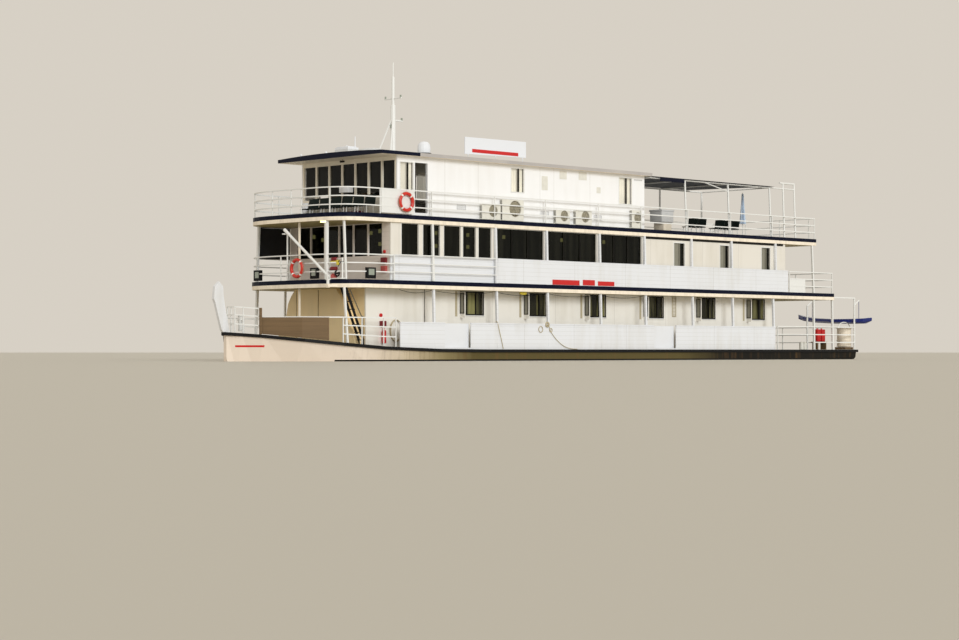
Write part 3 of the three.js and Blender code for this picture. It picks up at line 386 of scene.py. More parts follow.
houseSeams = (1.9, 5.06, 8.6, 12.1, 15.3, 19.0)
boardPitch = 0.165
finishes = {
    "white": weathered("white"),
    # the walls are one white paint: mainWall and midWall take warmer copies of it as painted warm shade under
    # the decks, upperWall a brighter copy as painted light
    "mainWall": weathered((0.88, 0.85, 0.79), seams=houseSeams, foot=1.44),
    "midWall": weathered((0.81, 0.77, 0.7), boards=boardPitch, seams=(-0.28, 13.75, 17.1, 19.51), skirt=3.92),
    "upperWall": weathered((0.96, 0.96, 0.97), grime=0.2, seams=(2.2, 3.95, 7.35, 8.14, 10.24), foot=6.425),
    "mainBoards": weathered("white", boards=boardPitch, foot=1.44, seams=(3.0, 6.1, 8.9, 12.0, 17.6, 20.3)),
    "midBoards": weathered("white", boards=boardPitch, seams=(6.1, 9.0, 12.0, 14.8, 17.6, 20.5)),
    "cream": weathered("cream", grime=0.7),
    # the next three are the forward-facing fronts, white paint tinted cream, tan and pale: painted warm shade
    # on faces turned from the sun
    "creamBoards": weathered((0.86, 0.77, 0.71), boards=boardPitch, grime=0.6),
    "tan": weathered((0.99, 0.78, 0.45), grime=0.4, foot=1.44),
    "pale": weathered((0.84, 0.78, 0.66), grime=0.4),
    "hull": hullPaint(),
    "midDeck": bandedDeck(ship["midDeck"]),
    "upperDeck": bandedDeck(ship["upperDeck"]),
    "roof": roofPaint(),
    "glass": paneGlass((0.003, 0.0035, 0.002), 0.86),
    "oliveGlass": paneGlass((0.02, 0.019, 0.011), 0.96, (0.33, 0.31, 0.13)),
    "clearGlass": paneGlass((0.006, 0.006, 0.005), 0.93, clearSides=2.6),
    "curtainGlass": paneGlass((0.01, 0.01, 0.008), 0.08),
    "ring": ringPaint(),
    "timber": planksPaint("timber", 0.09),
    "canvas": weave("canvas", 0.012),
    "shadeCloth": weave((0.66, 0.76, 0.88), 0.008),
    # the curtains glow faintly though no lamp lights them: painted light on cloth that hangs in shade
    "curtain": glowing(weave((0.88, 0.84, 0.72), 0.006), (0.9, 0.85, 0.72), 0.24),
    "blind": weave((0.006, 0.006, 0.008), 0.01),
    "rope": weave((0.48, 0.41, 0.27), 0.03),
    "rail": plainPaint((0.84, 0.84, 0.82), 0.35, wear=0.05),
    "bronze": plainPaint("bronze", 0.3, 0.9),
    "canoe": plainPaint("canoeBlue", 0.25, coat=0.4),
    "green": plainPaint((0.005, 0.012, 0.01), 0.6, grain=3.0),
    "lens": plainPaint((0.3, 0.34, 0.28), 0.08, coat=0.8, wear=0.05),
    "warmLamp": glowing(plainPaint((1.0, 0.9, 0.55)), (0.95, 0.9, 0.3), 4.0),
}
# colour and roughness
plainPaints = {
    "cooler": ((0.8, 0.78, 0.71), 0.45),
    # beige for the shaded forward faces of the window fins and the louvre: painted shade
    "fin": ((0.5, 0.43, 0.29), 0.42),
    "navy": ("navy", 0.42),
    "black": ("black", 0.5),
    "greyPane": ((0.26, 0.25, 0.2), 0.3),
    "red": ("red", 0.42),
    "shadeLid": ((0.62, 0.62, 0.62), 0.5),
    "dark": ((0.015, 0.013, 0.011), 0.7),
    "darkRed": ((0.2, 0.006, 0.012), 0.45),
    "rose": ((0.55, 0.1, 0.09), 0.5),
    "seam": ((0.22, 0.15, 0.07), 0.7),
    "grille": ((0.1, 0.1, 0.09), 0.5),
    "fanWell": ((0.16, 0.14, 0.1), 0.6),
    "fanBlade": ((0.35, 0.31, 0.22), 0.5),
    "fanGuard": ((0.5, 0.47, 0.38), 0.5),
    "yellow": ((0.75, 0.6, 0.05), 0.4),
}
finishes.update({name: plainPaint(*row) for name, row in plainPaints.items()})
for name, finish in finishes.items():
    finish.material.name = name
painted = {
    "black": "rub_strake main_stair rudder_port rudder_starboard",
    "hull": "hull",
    "midDeck": "mid_deck mid_deck_fore",
    "upperDeck": "upper_deck",
    "roof": "upper_roof",
    "mainWall": "main_house_port main_house_starboard",
    "midWall": "saloon_side_port saloon_side_starboard",
    "upperWall": "upper_house_port upper_house_starboard",
    "mainBoards": "main_bulwark_port main_bulwark_starboard",
    "midBoards": "mid_bulwark_port mid_bulwark_starboard",
    # fronts facing forward take paints that carry painted warm shade
    "tan": "main_house_front",
    "cream": "main_house_aft cabin_aft_wall",
    "creamBoards": "saloon_front",
    "pale": "wheelhouse_front",
    "cooler": "cooling_units",
    "oliveGlass": "main_house_glass",
    "glass": "saloon_glass",
    "clearGlass": "wheelhouse_glass",
    "curtainGlass": "upper_glass_port upper_glass_starboard",
    "rope": "mooring_line",
    "timber": "bow_screen",
    "canvas": "awning_cover",
    "canoe": "canoe",
    "bronze": "propeller_port propeller_starboard",
    "red": "life_ring_front life_ring_side",
}
nodeFinish = {node: finish for finish, names in painted.items() for node in names.split()}
railWords = ("rail", "mast", "boom", "awning_frame")
for name, node in nodes.items():
    wanted = nodeFinish.get(name, "rail" if any(word in name for word in railWords) else "white")
    node.data.materials.clear()
    node.data.materials.append(finishes[wanted].material)
print("CAD pieces painted:", len(nodes))


# Modelling helpers


def clear():
    bpy.ops.object.select_all(action="DESELECT")


def leave():
    bpy.ops.object.mode_set(mode="OBJECT")


def choose(made, wanted=lambda face: True):  # picks the faces that pass, ready for an edit
    bpy.context.view_layer.objects.active = made
    bpy.context.tool_settings.mesh_select_mode = (False, False, True)
    mesh = made.data
    for item in (*mesh.vertices, *mesh.edges):
        item.select = False
    for face in mesh.polygons:
        face.select = wanted(face)
    bpy.ops.object.mode_set(mode="EDIT")
    bpy.ops.mesh.select_mode(type="FACE")


def applied():
    bpy.ops.object.transform_apply(location=True, rotation=True, scale=True)
    return bpy.context.object


def rounded(made, edge, segments=1):
    choose(made)
    bpy.ops.mesh.bevel(offset=edge, segments=segments)
    leave()
    return made


def rawBox(low, high):
    clear()
    low, high = Vector(low), Vector(high)
    bpy.ops.mesh.primitive_cube_add(size=1, location=(low + high) / 2, scale=high - low)
    return applied()


def shipBox(stations, sides, levels):  # the low and high corners of a box given in the ship's own terms
    ends = list(zip(*(at(*corner) for corner in zip(stations, sides, levels))))
    return Vector(map(min, ends)), Vector(map(max, ends))


def span(middle, half):
    return middle - half, middle + half


def outward(distance):
    return Vector((0, distance, 0))


def block(stations, sides, levels, edge=0.004, segments=1):
    return rounded(rawBox(*shipBox(stations, sides, levels)), edge, segments)


def frameRing(stations, sides, levels, axis, width, edge=0.003):  # a box with a hole right through one way
    made = rawBox(*shipBox(stations, sides, levels))
    choose(made, lambda face: abs(face.normal[axis]) > 0.9)
    bpy.ops.mesh.inset(thickness=width)
    bpy.ops.mesh.bridge_edge_loops()
    bpy.ops.mesh.select_all(action="SELECT")
    bpy.ops.mesh.bevel(offset=edge, segments=1)
    leave()
    return made


def rod(start, end, radius, sides=10, tip=None):
    clear()
    start, end = Vector(start), Vector(end)
    run = end - start
    bpy.ops.mesh.primitive_cone_add(vertices=sides, radius1=radius, radius2=radius if tip is None else tip,
        depth=run.length, location=(start + end) / 2, rotation=run.to_track_quat("Z", "Y").to_euler())
    made = applied()
    along = run.normalized()
    choose(made, lambda face: abs(face.normal.dot(along)) > 0.95)
    bpy.ops.mesh.bevel(offset=0.12 * radius, segments=1)
    leave()
    return made


def post(station, side, low, high, radius, sides=10, tip=None):  # an upright rod
    return rod(at(station, side, low), at(station, side, high), radius, sides, tip)


def axle(station, level, first, last, radius, sides=10):  # a rod that lies across the ship
    return rod(at(station, first, level), at(station, last, level), radius, sides)


def windowFrame(station, width, wall, levels, bar, lap=0.02, depth=0.014):  # laps the wall round an opening
    return frameRing((station - lap, station + width + lap), (wall + 0.001, wall + depth),
        (levels[0] - lap, levels[1] + lap), 1, bar)


def ring(centre, axis, radius, tube, around=40, across=10):
    clear()
    turn = Vector(axis).to_track_quat("Z", "Y").to_euler()
    bpy.ops.mesh.primitive_torus_add(location=centre, rotation=turn, major_radius=radius, minor_radius=tube,
        major_segments=around, minor_segments=across)
    return applied()


def dome(centre, radius, height, rings=10, around=28):  # the upper half of a squashed ball, closed below
    clear()
    bpy.ops.mesh.primitive_uv_sphere_add(location=centre, radius=radius, segments=around,
        ring_count=2 * rings)
    made, squash = applied(), Matrix.Diagonal((1, 1, height / radius, 1))
    made.data.transform(Matrix.Translation(centre) @ squash @ Matrix.Translation(-centre))
    choose(made)
    bpy.ops.mesh.bisect(plane_co=centre, plane_no=(0, 0, 1), use_fill=True, clear_inner=True)
    leave()
    return made


def copyOf(made, shift=(0, 0, 0)):
    twin = made.copy()
    twin.data = made.data.copy()
    twin.data.transform(Matrix.Translation(shift))
    bpy.context.collection.objects.link(twin)
    return twin


def turned(made, centre, axis, degrees):
    twin, turn = copyOf(made), Matrix.Rotation(math.radians(degrees), 4, axis)
    twin.data.transform(Matrix.Translation(centre) @ turn @ Matrix.Translation(-centre))
    return twin


def copies(made, shifts):
    return [made] + [copyOf(made, shift) for shift in shifts]


def stack(rise, count, *row):  # slats one above the other
    return copies(block(*row), [(0, 0, rise * step) for step in range(1, count)])


def repeated(shift, *parts):
    return [*parts, *(copyOf(part, shift) for part in parts)]


def mirrored(made):  # the same thing on the ship's other side
    twin = copyOf(made)
    twin.data.transform(Matrix.Translation((0, 2 * ship["centre"], 0)) @ Matrix.Diagonal((1, -1, 1, 1)))
    twin.data.flip_normals()
    return twin


def bothSides(parts):
    return parts + [mirrored(part) for part in parts]


def curveOf(name, points, radius, kind, closed=False, sides=4):
    curve = bpy.data.curves.new(name, "CURVE")
    curve.dimensions = "3D"
    curve.bevel_depth = radius
    curve.bevel_resolution = curve.resolution_u = sides
    curve.use_fill_caps = not closed
    line = curve.splines.new(kind)
    line.use_cyclic_u = closed
    knots = line.bezier_points if kind == "BEZIER" else line.points
    knots.add(len(points) - 1)
    for knot, point in zip(knots, points):
        knot.co = point if kind == "BEZIER" else (*point, 1)
        if kind == "BEZIER":
            knot.handle_left_type = knot.handle_right_type = "AUTO"
    return placed(name, curve)


def tube(points, radius, closed=False, sides=4):  # a bent bar or a held rope through these points
    made = curveOf("tube", points, radius, "POLY", closed, sides)
    clear()
    made.select_set(True)
    bpy.context.view_layer.objects.active = made
    bpy.ops.object.convert(target="MESH")
    return bpy.context.object


def cloth(columns, rows, place):  # a grid laid out by place(along, up), both running from 0 to 1
    clear()
    bpy.ops.mesh.primitive_grid_add(x_subdivisions=columns, y_subdivisions=rows, size=1)
    made = applied()
    for vertex in made.data.vertices:
        vertex.co = place(vertex.co.x + 0.5, vertex.co.y + 0.5)
    return made


def oval(station, side, level, reach, rise, turn, steps, sway=0.0):
    # points along an upright oval, turn radians apart; sway moves them in and out once every two rounds
    return [at(station + reach * math.cos(turn * step), side + sway * math.sin(turn * step / 2),
        level + rise * math.sin(turn * step)) for step in range(steps)]


def sagging(start, end, drop, steps=12):  # points of a rope hung between two places
    start, end = Vector(start), Vector(end)
    parts = [step / steps for step in range(steps + 1)]
    return [start.lerp(end, part) - Vector((0, 0, 4 * drop * part * (1 - part))) for part in parts]


def finished(parts, name, finish, smooth=32):
    clear()
    for part in parts:
        part.select_set(True)
    bpy.context.view_layer.objects.active = parts[0]
    if len(parts) > 1:
        bpy.ops.object.join()
    piece = bpy.context.object
    piece.name = name
    piece.data.name = name
    piece.data.materials.clear()
    piece.data.materials.append(finishes[finish].material)
    bpy.ops.object.shade_smooth_by_angle(angle=math.radians(smooth))
    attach(piece, "ship")
    return piece


def fitAll(pieces):  # each row of a table of small pieces: its name, finish and shapes
    for name, (finish, *parts) in pieces.items():
        finished(parts, name, finish)


# Mooring line: the free rope that hangs from the bulwark's head and trails towards the water

mooring = {
    "side": 3.192,
    "diameter": 0.022,
    # station and level of each point
    "route": ((7.44, 1.4), (7.446, 1.34), (7.462, 1.28), (7.49, 1.218), (7.535, 1.15),
        (7.595, 1.078), (7.665, 1.004), (7.745, 0.928), (7.835, 0.85), (7.935, 0.772), (8.045, 0.698),
        (8.165, 0.63), (8.295, 0.57), (8.43, 0.522), (8.57, 0.488), (8.71, 0.468), (8.85, 0.458),
        (8.96, 0.455), (9.05, 0.455)),
}
mooringPlaces = [at(station, mooring["side"], level) for station, level in mooring["route"]]
mooringRope = curveOf("mooringRope", mooringPlaces, mooring["diameter"] / 2, "BEZIER")
mooringRope.data.materials.append(finishes["rope"].material)
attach(mooringRope, "ship")
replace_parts(mooringRope, "mooring_line")


# Lower house: window frames with a mullion, a casement swung out before each window, and a beige band of
# painted shade on the wall ahead of each

lowerWindow = {
    "stations": (3.37, 6.85, 10.35, 13.94, 17.33, 20.74),
    "width": 1.2,
    "levels": (1.78, 2.64),
    "wall": 2.42,
    "frame": 0.05,
    "lap": 0.03,
    "mullion": (0.8, 0.828),
    "casement": {"ahead": 0.046, "sides": (2.44, 2.67), "levels": (1.81, 2.61), "frame": 0.032,
        "paneInset": 0.02},
    "finShadeStrip": {"ahead": (0.3, 0.19), "levels": (1.7, 2.66)},
}
start, wall, lap = lowerWindow["stations"][0], lowerWindow["wall"], lowerWindow["lap"]
sill, head = lowerWindow["levels"]
casement, finShadeStrip = lowerWindow["casement"], lowerWindow["finShadeStrip"]
face, inset = start - casement["ahead"], casement["paneInset"]
paneSides, paneLevels = ([casement[key][0] + inset, casement[key][1] - inset] for key in ("sides", "levels"))
lowerParts = {
    # a beige band on the wall just ahead of each window: painted shade standing for the shaded forward face
    # of the fins
    "lowerWindowStrips": ("fin", [block([start - ahead for ahead in finShadeStrip["ahead"]],
        (wall + 0.001, wall + 0.012), finShadeStrip["levels"])]),
    "lowerWindowFrames": ("dark", [
        windowFrame(start, lowerWindow["width"], wall, (sill, head), lowerWindow["frame"], lap, 0.016),
        block([start + part for part in lowerWindow["mullion"]], (wall - 0.055, wall + 0.012),
            (sill - 0.01, head + 0.01)),
        frameRing((face - 0.016, face), casement["sides"], casement["levels"], 0, casement["frame"])]),
    "lowerCasementPanes": ("greyPane", [block((face - 0.007, face), paneSides, paneLevels, 0.002)]),
    "lowerWindowSills": ("rail", [block((start - 0.05, start + lowerWindow["width"] + 0.05),
        (wall + 0.001, wall + 0.04), (sill - 2 * lap, sill - lap - 0.002))]),
}
steps = [(start - station, 0, 0) for station in lowerWindow["stations"][1:]]
for name, (finish, parts) in lowerParts.items():
    finished(bothSides([part for first in parts for part in copies(first, steps)]), name, finish)
print("lower windows framed")


# Saloon and cabin windows: thin white frames round every opening, and a dark band of painted shadow along the
# cabin walls' heads

saloonWindow = {
    # station and width
    "sides": ((-0.16, 0.85), (0.92, 0.86), (1.99, 0.86), (2.98, 0.68), (3.8, 0.69), (4.76, 2.62),
        (7.59, 2.85), (10.66, 2.52)),
    "cabins": ((15.21, 0.7), (18.23, 0.62), (21.07, 0.62)),
    "levels": (3.92, 5.105),
    "cabinLevels": (3.92, 4.93),
    "wall": 2.95,
    "frame": 0.02,
    "cabinFrame": 0.034,
    "cabinBar": 0.52,
    "widePanes": 3,
}
wall, levels = saloonWindow["wall"], saloonWindow["levels"]
frames = [windowFrame(*window, wall, levels, saloonWindow["frame"]) for window in saloonWindow["sides"]]
mullions, cabinBars = [], []
for station, width in saloonWindow["sides"][-3:]:
    for part in range(1, saloonWindow["widePanes"]):
        middle = station + part / saloonWindow["widePanes"] * width
        mullions.append(block(span(middle, 0.012), (wall - 0.055, wall - 0.02), levels))
levels = saloonWindow["cabinLevels"]
for station, width in saloonWindow["cabins"]:
    middle = station + saloonWindow["cabinBar"] * width
    frames.append(windowFrame(station, width, wall, levels, saloonWindow["cabinFrame"]))
    cabinBars.append(block((middle, middle + 0.03), (wall - 0.055, wall + 0.01), levels))
    cabinBars.append(block((station, middle), (wall - 0.054, wall - 0.045), levels, 0.002))
finished(bothSides(frames), "saloonWindowFrames", "rail")
finished(bothSides(mullions), "saloonWindowBars", "dark")
finished(bothSides(cabinBars), "cabinWindowBars", "greyPane")
# a dark band along the cabin walls' heads: painted shadow under the upper deck's edge
cabinShadowStrip = block((13.26, 22.6), (wall + 0.001, wall + 0.02), (5.03, 5.125))
finished(bothSides([cabinShadowStrip]), "cabinHeadShadowStrip", "dark")
print("saloon windows framed")


# Upper house windows with cream curtains behind the glass, lit by a faint glow of painted light, and a black
# blind in the saloon front

upperWindow = {
    # station, width, sill and head
    "windows": ((-0.08, 0.66, 6.38, 7.41), (5.73, 0.72, 6.585, 7.52), (11.98, 0.78, 6.42, 7.505)),
    "wall": 2.78,
    "frame": 0.032,
    "bar": 0.55,
    # where each curtain begins and how much it covers, as shares of the window's width
    "curtains": (("fore", 0.0, 0.54), ("aft", 0.56, 0.42)),
    "folds": 4,
}
blind = {"station": -2.3, "side": -2.9, "width": 1.58, "levels": (3.93, 5.1), "folds": 2, "depth": 0.012}


def curtain(name, station, side, width, levels, folds, depth=0.018, finish="curtain"):
    # a cloth hung in even folds; its flat width follows the folds half way up
    low, high = levels

    def wave(along, up):
        return math.sin(math.tau * folds * along) * depth * (1.0 - 0.25 * up)

    def hang(along, up):
        return at(station + width * along, side + wave(along, up), low + (high - low) * up)

    piece = finished([cloth(folds * 8, 10, hang)], name, finish, smooth=80)
    waves = [wave(step / 200, 0.5) for step in range(201)]
    flatWidth = sum(math.hypot(width / 200, b - a) for a, b in zip(waves, waves[1:]))


wall = upperWindow["wall"]
frames, bars = [], []
for count, (station, width, sill, head) in enumerate(upperWindow["windows"], 1):
    middle = station + upperWindow["bar"] * width
    frames.append(windowFrame(station, width, wall, (sill, head), upperWindow["frame"]))
    bars.append(block((middle, middle + 0.05), (wall - 0.05, wall + 0.01), (sill, head)))
    for word, side in (("port", 1), ("starboard", -1)):
        for half, begin, share in upperWindow["curtains"]:
            curtain(f"upperCurtain_{half}_{word}_{count}", station + begin * width + 0.01,
                side * (wall - 0.1), share * width, (sill - 0.02, head + 0.02), upperWindow["folds"])
finished(bothSides(frames), "upperWindowFrames", "rail")
finished(bothSides(bars), "upperWindowBars", "dark")
curtain("foreBlind", finish="blind", **blind)
blindRods = [rod(at(-2.32, -2.9, 5.115), at(-0.7, -2.9, 5.115), 0.012),
    rod(at(-2.3, -2.9, 3.925), at(-0.72, -2.9, 3.925), 0.01)]
finished(blindRods, "foreBlindRods", "black")
print("upper windows framed")


# Cooling units: fan blades, guards, fins and pipes

cooling = {
    # station, width and height
    "units": ((4.02, 1.0, 0.61), (5.11, 1.18, 0.86), (8.11, 0.8, 0.58), (9.26, 0.93, 0.61),
        (12.62, 0.61, 0.78)),
    "sides": (2.79, 2.925),
    "foot": 5.445,
    "blades": 5,
    "guardRings": (1.0, 0.78, 0.56, 0.34, 0.15),
    "spokeTurns": (60, 120),
    "finPitch": 0.04,
    "pipeSide": 2.84,
    # axial places against the fan's middle plane, outward positive
    "guardPlane": 0.012,
    "bladePlane": (-0.03, -0.026),
    "hubPlanes": (-0.04, -0.004),
    "wellPlanes": (-0.049, -0.041),
}


def fanGuard(centre, radius):
    middle, reach = centre + outward(cooling["guardPlane"]), Vector((radius, 0, 0))
    spoke = rod(middle - reach, middle + reach, 0.004, 6)
    rings = [ring(middle, (0, 1, 0), radius * part, 0.005, 36, 6) for part in cooling["guardRings"]]
    return rings + [spoke] + [turned(spoke, centre, "Y", angle) for angle in cooling["spokeTurns"]]


def fanBlades(centre, radius):
    back, face = cooling["bladePlane"]
    blade = rawBox(centre + Vector((0.02, back, -0.004)), centre + Vector((radius * 0.86, face, 0.004)))
    for vertex in blade.data.vertices:  # wider towards the tip, and twisted
        out = (vertex.co.x - centre.x) / radius
        vertex.co.z = centre.z + (vertex.co.z - centre.z) * (8 + 26 * out) * (radius / 0.2)
        vertex.co.y += (vertex.co.z - centre.z) * 0.12
    rounded(blade, 0.001)
    low, high = (centre + outward(plane) for plane in cooling["hubPlanes"])
    count = cooling["blades"]
    others = [turned(blade, centre, "Y", 360 * step / count) for step in range(1, count)]
    return [blade, rod(low, high, radius * 0.2, 20)] + others


guards, blades, wells, fins, pipes = ([] for kind in range(5))
(inner, front), foot, pitch, pipeSide = (cooling[key] for key in ("sides", "foot", "finPitch", "pipeSide"))
for station, width, height in cooling["units"]:
    after, radius = station + width, 0.36 * min(width, height)
    centre = at(station + 0.6 * width, front, foot + 0.55 * height)
    guards += fanGuard(centre, radius * 1.02)
    blades += fanBlades(centre, radius)
    wells.append(rod(*(centre + outward(plane) for plane in cooling["wellPlanes"]), radius, 28))
    fins += stack(pitch, int((height - 0.1) / pitch), (station - 0.012, station - 0.001),
        (inner + 0.01, front - 0.01), (foot + 0.05, foot + 0.065), 0.002)
    pipes.append(tube([at(after - 0.03 * width, inner, foot + 0.25), at(after + 0.05, pipeSide, foot + 0.25),
        at(after + 0.06, pipeSide, foot + 0.18), at(after + 0.06, pipeSide, foot - 0.015)], 0.018))
coolerParts = (("FanGuards", "fanGuard", guards), ("FanBlades", "fanBlade", blades),
    ("FanWells", "fanWell", wells), ("Fins", "grille", fins), ("Pipes", "black", pipes))
for name, finish, parts in coolerParts:
    finished(bothSides(parts), "cooler" + name, finish)
print("cooling units dressed")


# Life rings: a fat ring with four pale bands and a grab line

lifeRing = {
    "radius": 0.31,
    "tube": 0.062,
    "bandHalf": 7,
    "steps": 96,
    "line": {"radius": 0.006, "ahead": 0.015, "snug": 1.02, "slack": 0.35},
    # piece, node and the way it faces
    "rings": (("lifeRingFront", "life_ring_front", (1, 0, 0)),
        ("lifeRingSide", "life_ring_side", (0, 1, 0))),
}


def lifeRingAt(name, node, facing):
    low, high = (Vector(corner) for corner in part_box(node))
    centre, facing = (low + high) / 2, Vector(facing)
    flat, up = facing.yxz, Vector((0, 0, 1))
    body = ring(centre, facing, lifeRing["radius"], lifeRing["tube"], lifeRing["steps"], 20)
    bands = body.data.attributes.new("band", "FLOAT", "POINT")
    for vertex, value in zip(body.data.vertices, bands.data):
        out = vertex.co - centre
        angle = math.degrees(math.atan2(out.z, out.dot(flat))) % 90
        value.value = float(abs(angle - 45) < lifeRing["bandHalf"])
    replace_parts(finished([body], name, "ring", smooth=60), node)
    line, points = lifeRing["line"], []
    for step in range(lifeRing["steps"]):
        angle = math.tau * step / lifeRing["steps"]
        slack = 0.5 - 0.5 * math.cos(4 * angle - math.pi)
        reach = lifeRing["radius"] + lifeRing["tube"] * (line["snug"] + line["slack"] * slack)
        direction = math.cos(angle) * flat + math.sin(angle) * up
        points.append(centre + line["ahead"] * facing + reach * direction)
    finished([tube(points, line["radius"], closed=True, sides=2)], name + "Line", "rope")


for row in lifeRing["rings"]:
    lifeRingAt(*row)
print("life rings made")


# Floodlight housings on the middle deck's front rail

flood = {
    # station and side
    "front": ((-2.93, -2.06), (-2.99, 1.36)),
    "side": (-1.77, 3.11),
    "levels": (3.025, 3.425),
    "half": 0.18,
    "rim": 0.05,
    "slack": 0.002,
}
low, high = flood["levels"]
half, rim, slack = flood["half"], flood["rim"], flood["slack"]
rims, lenses, casings = [], [], []
for station, side in flood["front"]:
    rims.append(frameRing((station - 0.085, station - 0.061), span(side, half), (low, high), 0, rim))
    lenses.append(block((station - 0.072, station - 0.062), span(side, 0.12), (low + 0.1, high - 0.06)))
    casings.append(block(span(station, 0.062), span(side, half + slack), (low - slack, high + slack)))
station, side = flood["side"]
rims.append(frameRing(span(station, 0.2), (side + 0.001, side + 0.025), (low, high), 1, rim))
lenses.append(block(span(station, 0.14), (side + slack, side + 0.012), (low + 0.12, high - 0.05)))
casings.append(block(span(station, 0.2 + slack), (side - 0.122, side + slack), (low - slack, high + slack)))
finished(casings, "floodlightCasings", "black")
finished(rims, "floodlightRims", "black")
finished(lenses, "floodlightLenses", "lens")
print("floodlights made")


# Roof: hatch lid, edge lamps, radome foot, the sign's red bar, mast lamps, whip and horn

lamp = [post(-1.1, -1.76, 7.76, 7.86, 0.028), dome(at(-1.1, -1.76, 7.86), 0.05, 0.07, 5, 16)]
fitAll({
    "roofFittings": ("white", block((-0.9, -0.47), (0.11, 0.77), (8.038, 8.075), 0.015, 2),
        post(-0.68, 0.44, 8.07, 8.13, 0.03, 12), *repeated((0, 1.49, 0), *lamp)),
    "radomeBase": ("black", ring(at(2.3, 1.5, 7.93), (0, 0, 1), 0.262, 0.03, 40, 10),
        block((2.32, 2.72), (1.44, 1.56), (7.865, 7.92))),
    "signRedBar": ("red", block((4.35, 6.88), (2.031, 2.038), (8.09, 8.225), 0.002)),
    "mastLamps": ("lens", *repeated((0, 0.88, 0), post(2.05, -0.44, 10.17, 10.27, 0.035, 14)),
        post(1.96, 0, 9.0, 9.14, 0.05, 16), post(2.5, 0, 9.34, 9.44, 0.04, 14)),
    "mastWhip": ("rail", post(2.05, 0, 11.3, 11.54, 0.012, 8, 0.006)),
    "roofHorn": ("black", rod(at(-0.62, 0, 7.55), at(-0.42, 0, 7.57), 0.045, 16, 0.03),
        post(-0.5, 0, 7.57, 7.64, 0.012)),
})
print("roof dressed")


# Wheelhouse: console, wheel, seats and lockers, with a row of chairs before it

helm = {
    "console": ((0.05, 0.55), (-1.5, 1.0), (5.43, 6.32)),
    "lipWidth": 0.04,
    "lipRise": 0.06,
    "slope": 0.5,
    "slopeFrom": 6.3,
    "wheel": (0.68, -0.2, 6.2),
    "wheelRadius": 0.28,
    "spokeReach": 0.36,
    "spokeTurns": (45, 90, 135),
    "seats": {"stations": (1.25,), "sides": (-0.2, 0.9), "levels": (0.55, 1.15), "width": 0.5,
        "finish": "dark"},
}
console = rawBox(*shipBox(*helm["console"]))
choose(console, lambda face: face.normal.z > 0.9)
bpy.ops.mesh.inset(thickness=helm["lipWidth"])
bpy.ops.transform.translate(value=(0.0, 0.0, helm["lipRise"]))
leave()
brow = at(helm["console"][0][0], 0, helm["slopeFrom"])
for vertex in console.data.vertices:
    if vertex.co.z > brow.z:
        vertex.co.z -= helm["slope"] * (brow.x - vertex.co.x)
rounded(console, 0.006)
finished([console], "helmConsole", "timber")
wheel = at(*helm["wheel"])
reach = outward(helm["spokeReach"])
spoke = rod(wheel - reach, wheel + reach, 0.011, 8)
wheelParts = [ring(wheel, (1, 0, 0), helm["wheelRadius"], 0.016, 40, 8), spoke,
    rod(wheel + Vector((-0.03, 0, 0)), wheel + Vector((0.13, 0, 0)), 0.035, 16)]
wheelParts += [turned(spoke, wheel, "X", angle) for angle in helm["spokeTurns"]]
finished(wheelParts, "helmWheel", "bronze")


def shellChairs(name, stations, sides, levels, width, finish):
    # moulded shells on four legs, facing the bow; levels are the seat and the back's head above the deck
    floor = ship["upperDeck"]
    sitting, head = (floor + level for level in levels)
    for count, (station, side) in enumerate(((a, b) for a in stations for b in sides), 1):
        seat = block(span(station, 0.22), span(side, width / 2), (sitting - 0.03, sitting), 0.012, 2)
        back = rawBox(*shipBox(span(station, 0.02), span(side, width / 2), (sitting + 0.02, head)))
        for vertex in back.data.vertices:
            vertex.co.x -= 0.2 + 0.16 * (vertex.co.z - at(0, 0, sitting).z)
        rounded(back, 0.014, 2)
        legs = [rod(at(station + a, side + b * (width / 2 - 0.04), floor + 0.002),
            at(station + 0.8 * a, side + b * (width / 2 - 0.05), sitting - 0.02), 0.014, 8)
            for a in span(0, 0.19) for b in (-1, 1)]
        finished([seat, back], f"{name}_{count}", finish)
        finished(legs, f"{name}_{count}Legs", "rail")


foreChairs = {"stations": (-0.78,), "sides": [-1.66 + 0.66 * count for count in range(6)],
    "levels": (0.4, 0.8), "width": 0.58, "finish": "green"}
shellChairs("helmSeat", **helm["seats"])
shellChairs("foreChair", **foreChairs)
lockers = [block((-0.62, -0.27), (-2.35, -2.02), (5.43, 6.08), 0.015, 2),
    block((-0.5, -0.24), (-0.22, 0.3), (6.38, 6.6), 0.012, 2)]
finished(lockers, "foreLockers", "white")
print("wheelhouse furnished")


# Awning: one stretched cover over the frame, its after end cut at a slant

awning = {
    # station and side of the corners: fore port, aft port, aft starboard, fore starboard
    "corners": ((13.85, 2.96), (22.05, 2.96), (20.9, -1.15), (13.85, -1.15)),
    "level": 7.652,
    "sag": 0.016,
    "bays": 5,
    "flat": (8.2, 4.11),
    "area": 31.3,
}
awningCorners = [Vector(corner) for corner in awning["corners"]]


def awningPlace(along, over):
    port = awningCorners[0].lerp(awningCorners[1], along)
    starboard = awningCorners[3].lerp(awningCorners[2], along)
    sag = awning["sag"] * abs(math.sin(math.pi * awning["bays"] * along)) * math.sin(math.pi * over)
    return at(*starboard.lerp(port, over), awning["level"] - sag)


cover = finished([cloth(80, 40, awningPlace)], "awningCanvasCover", "canvas", smooth=80)
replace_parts(cover, "awning_cover")
print("awning covered")


# Canoe: pale gunwales and two thwarts on the thin blue shell

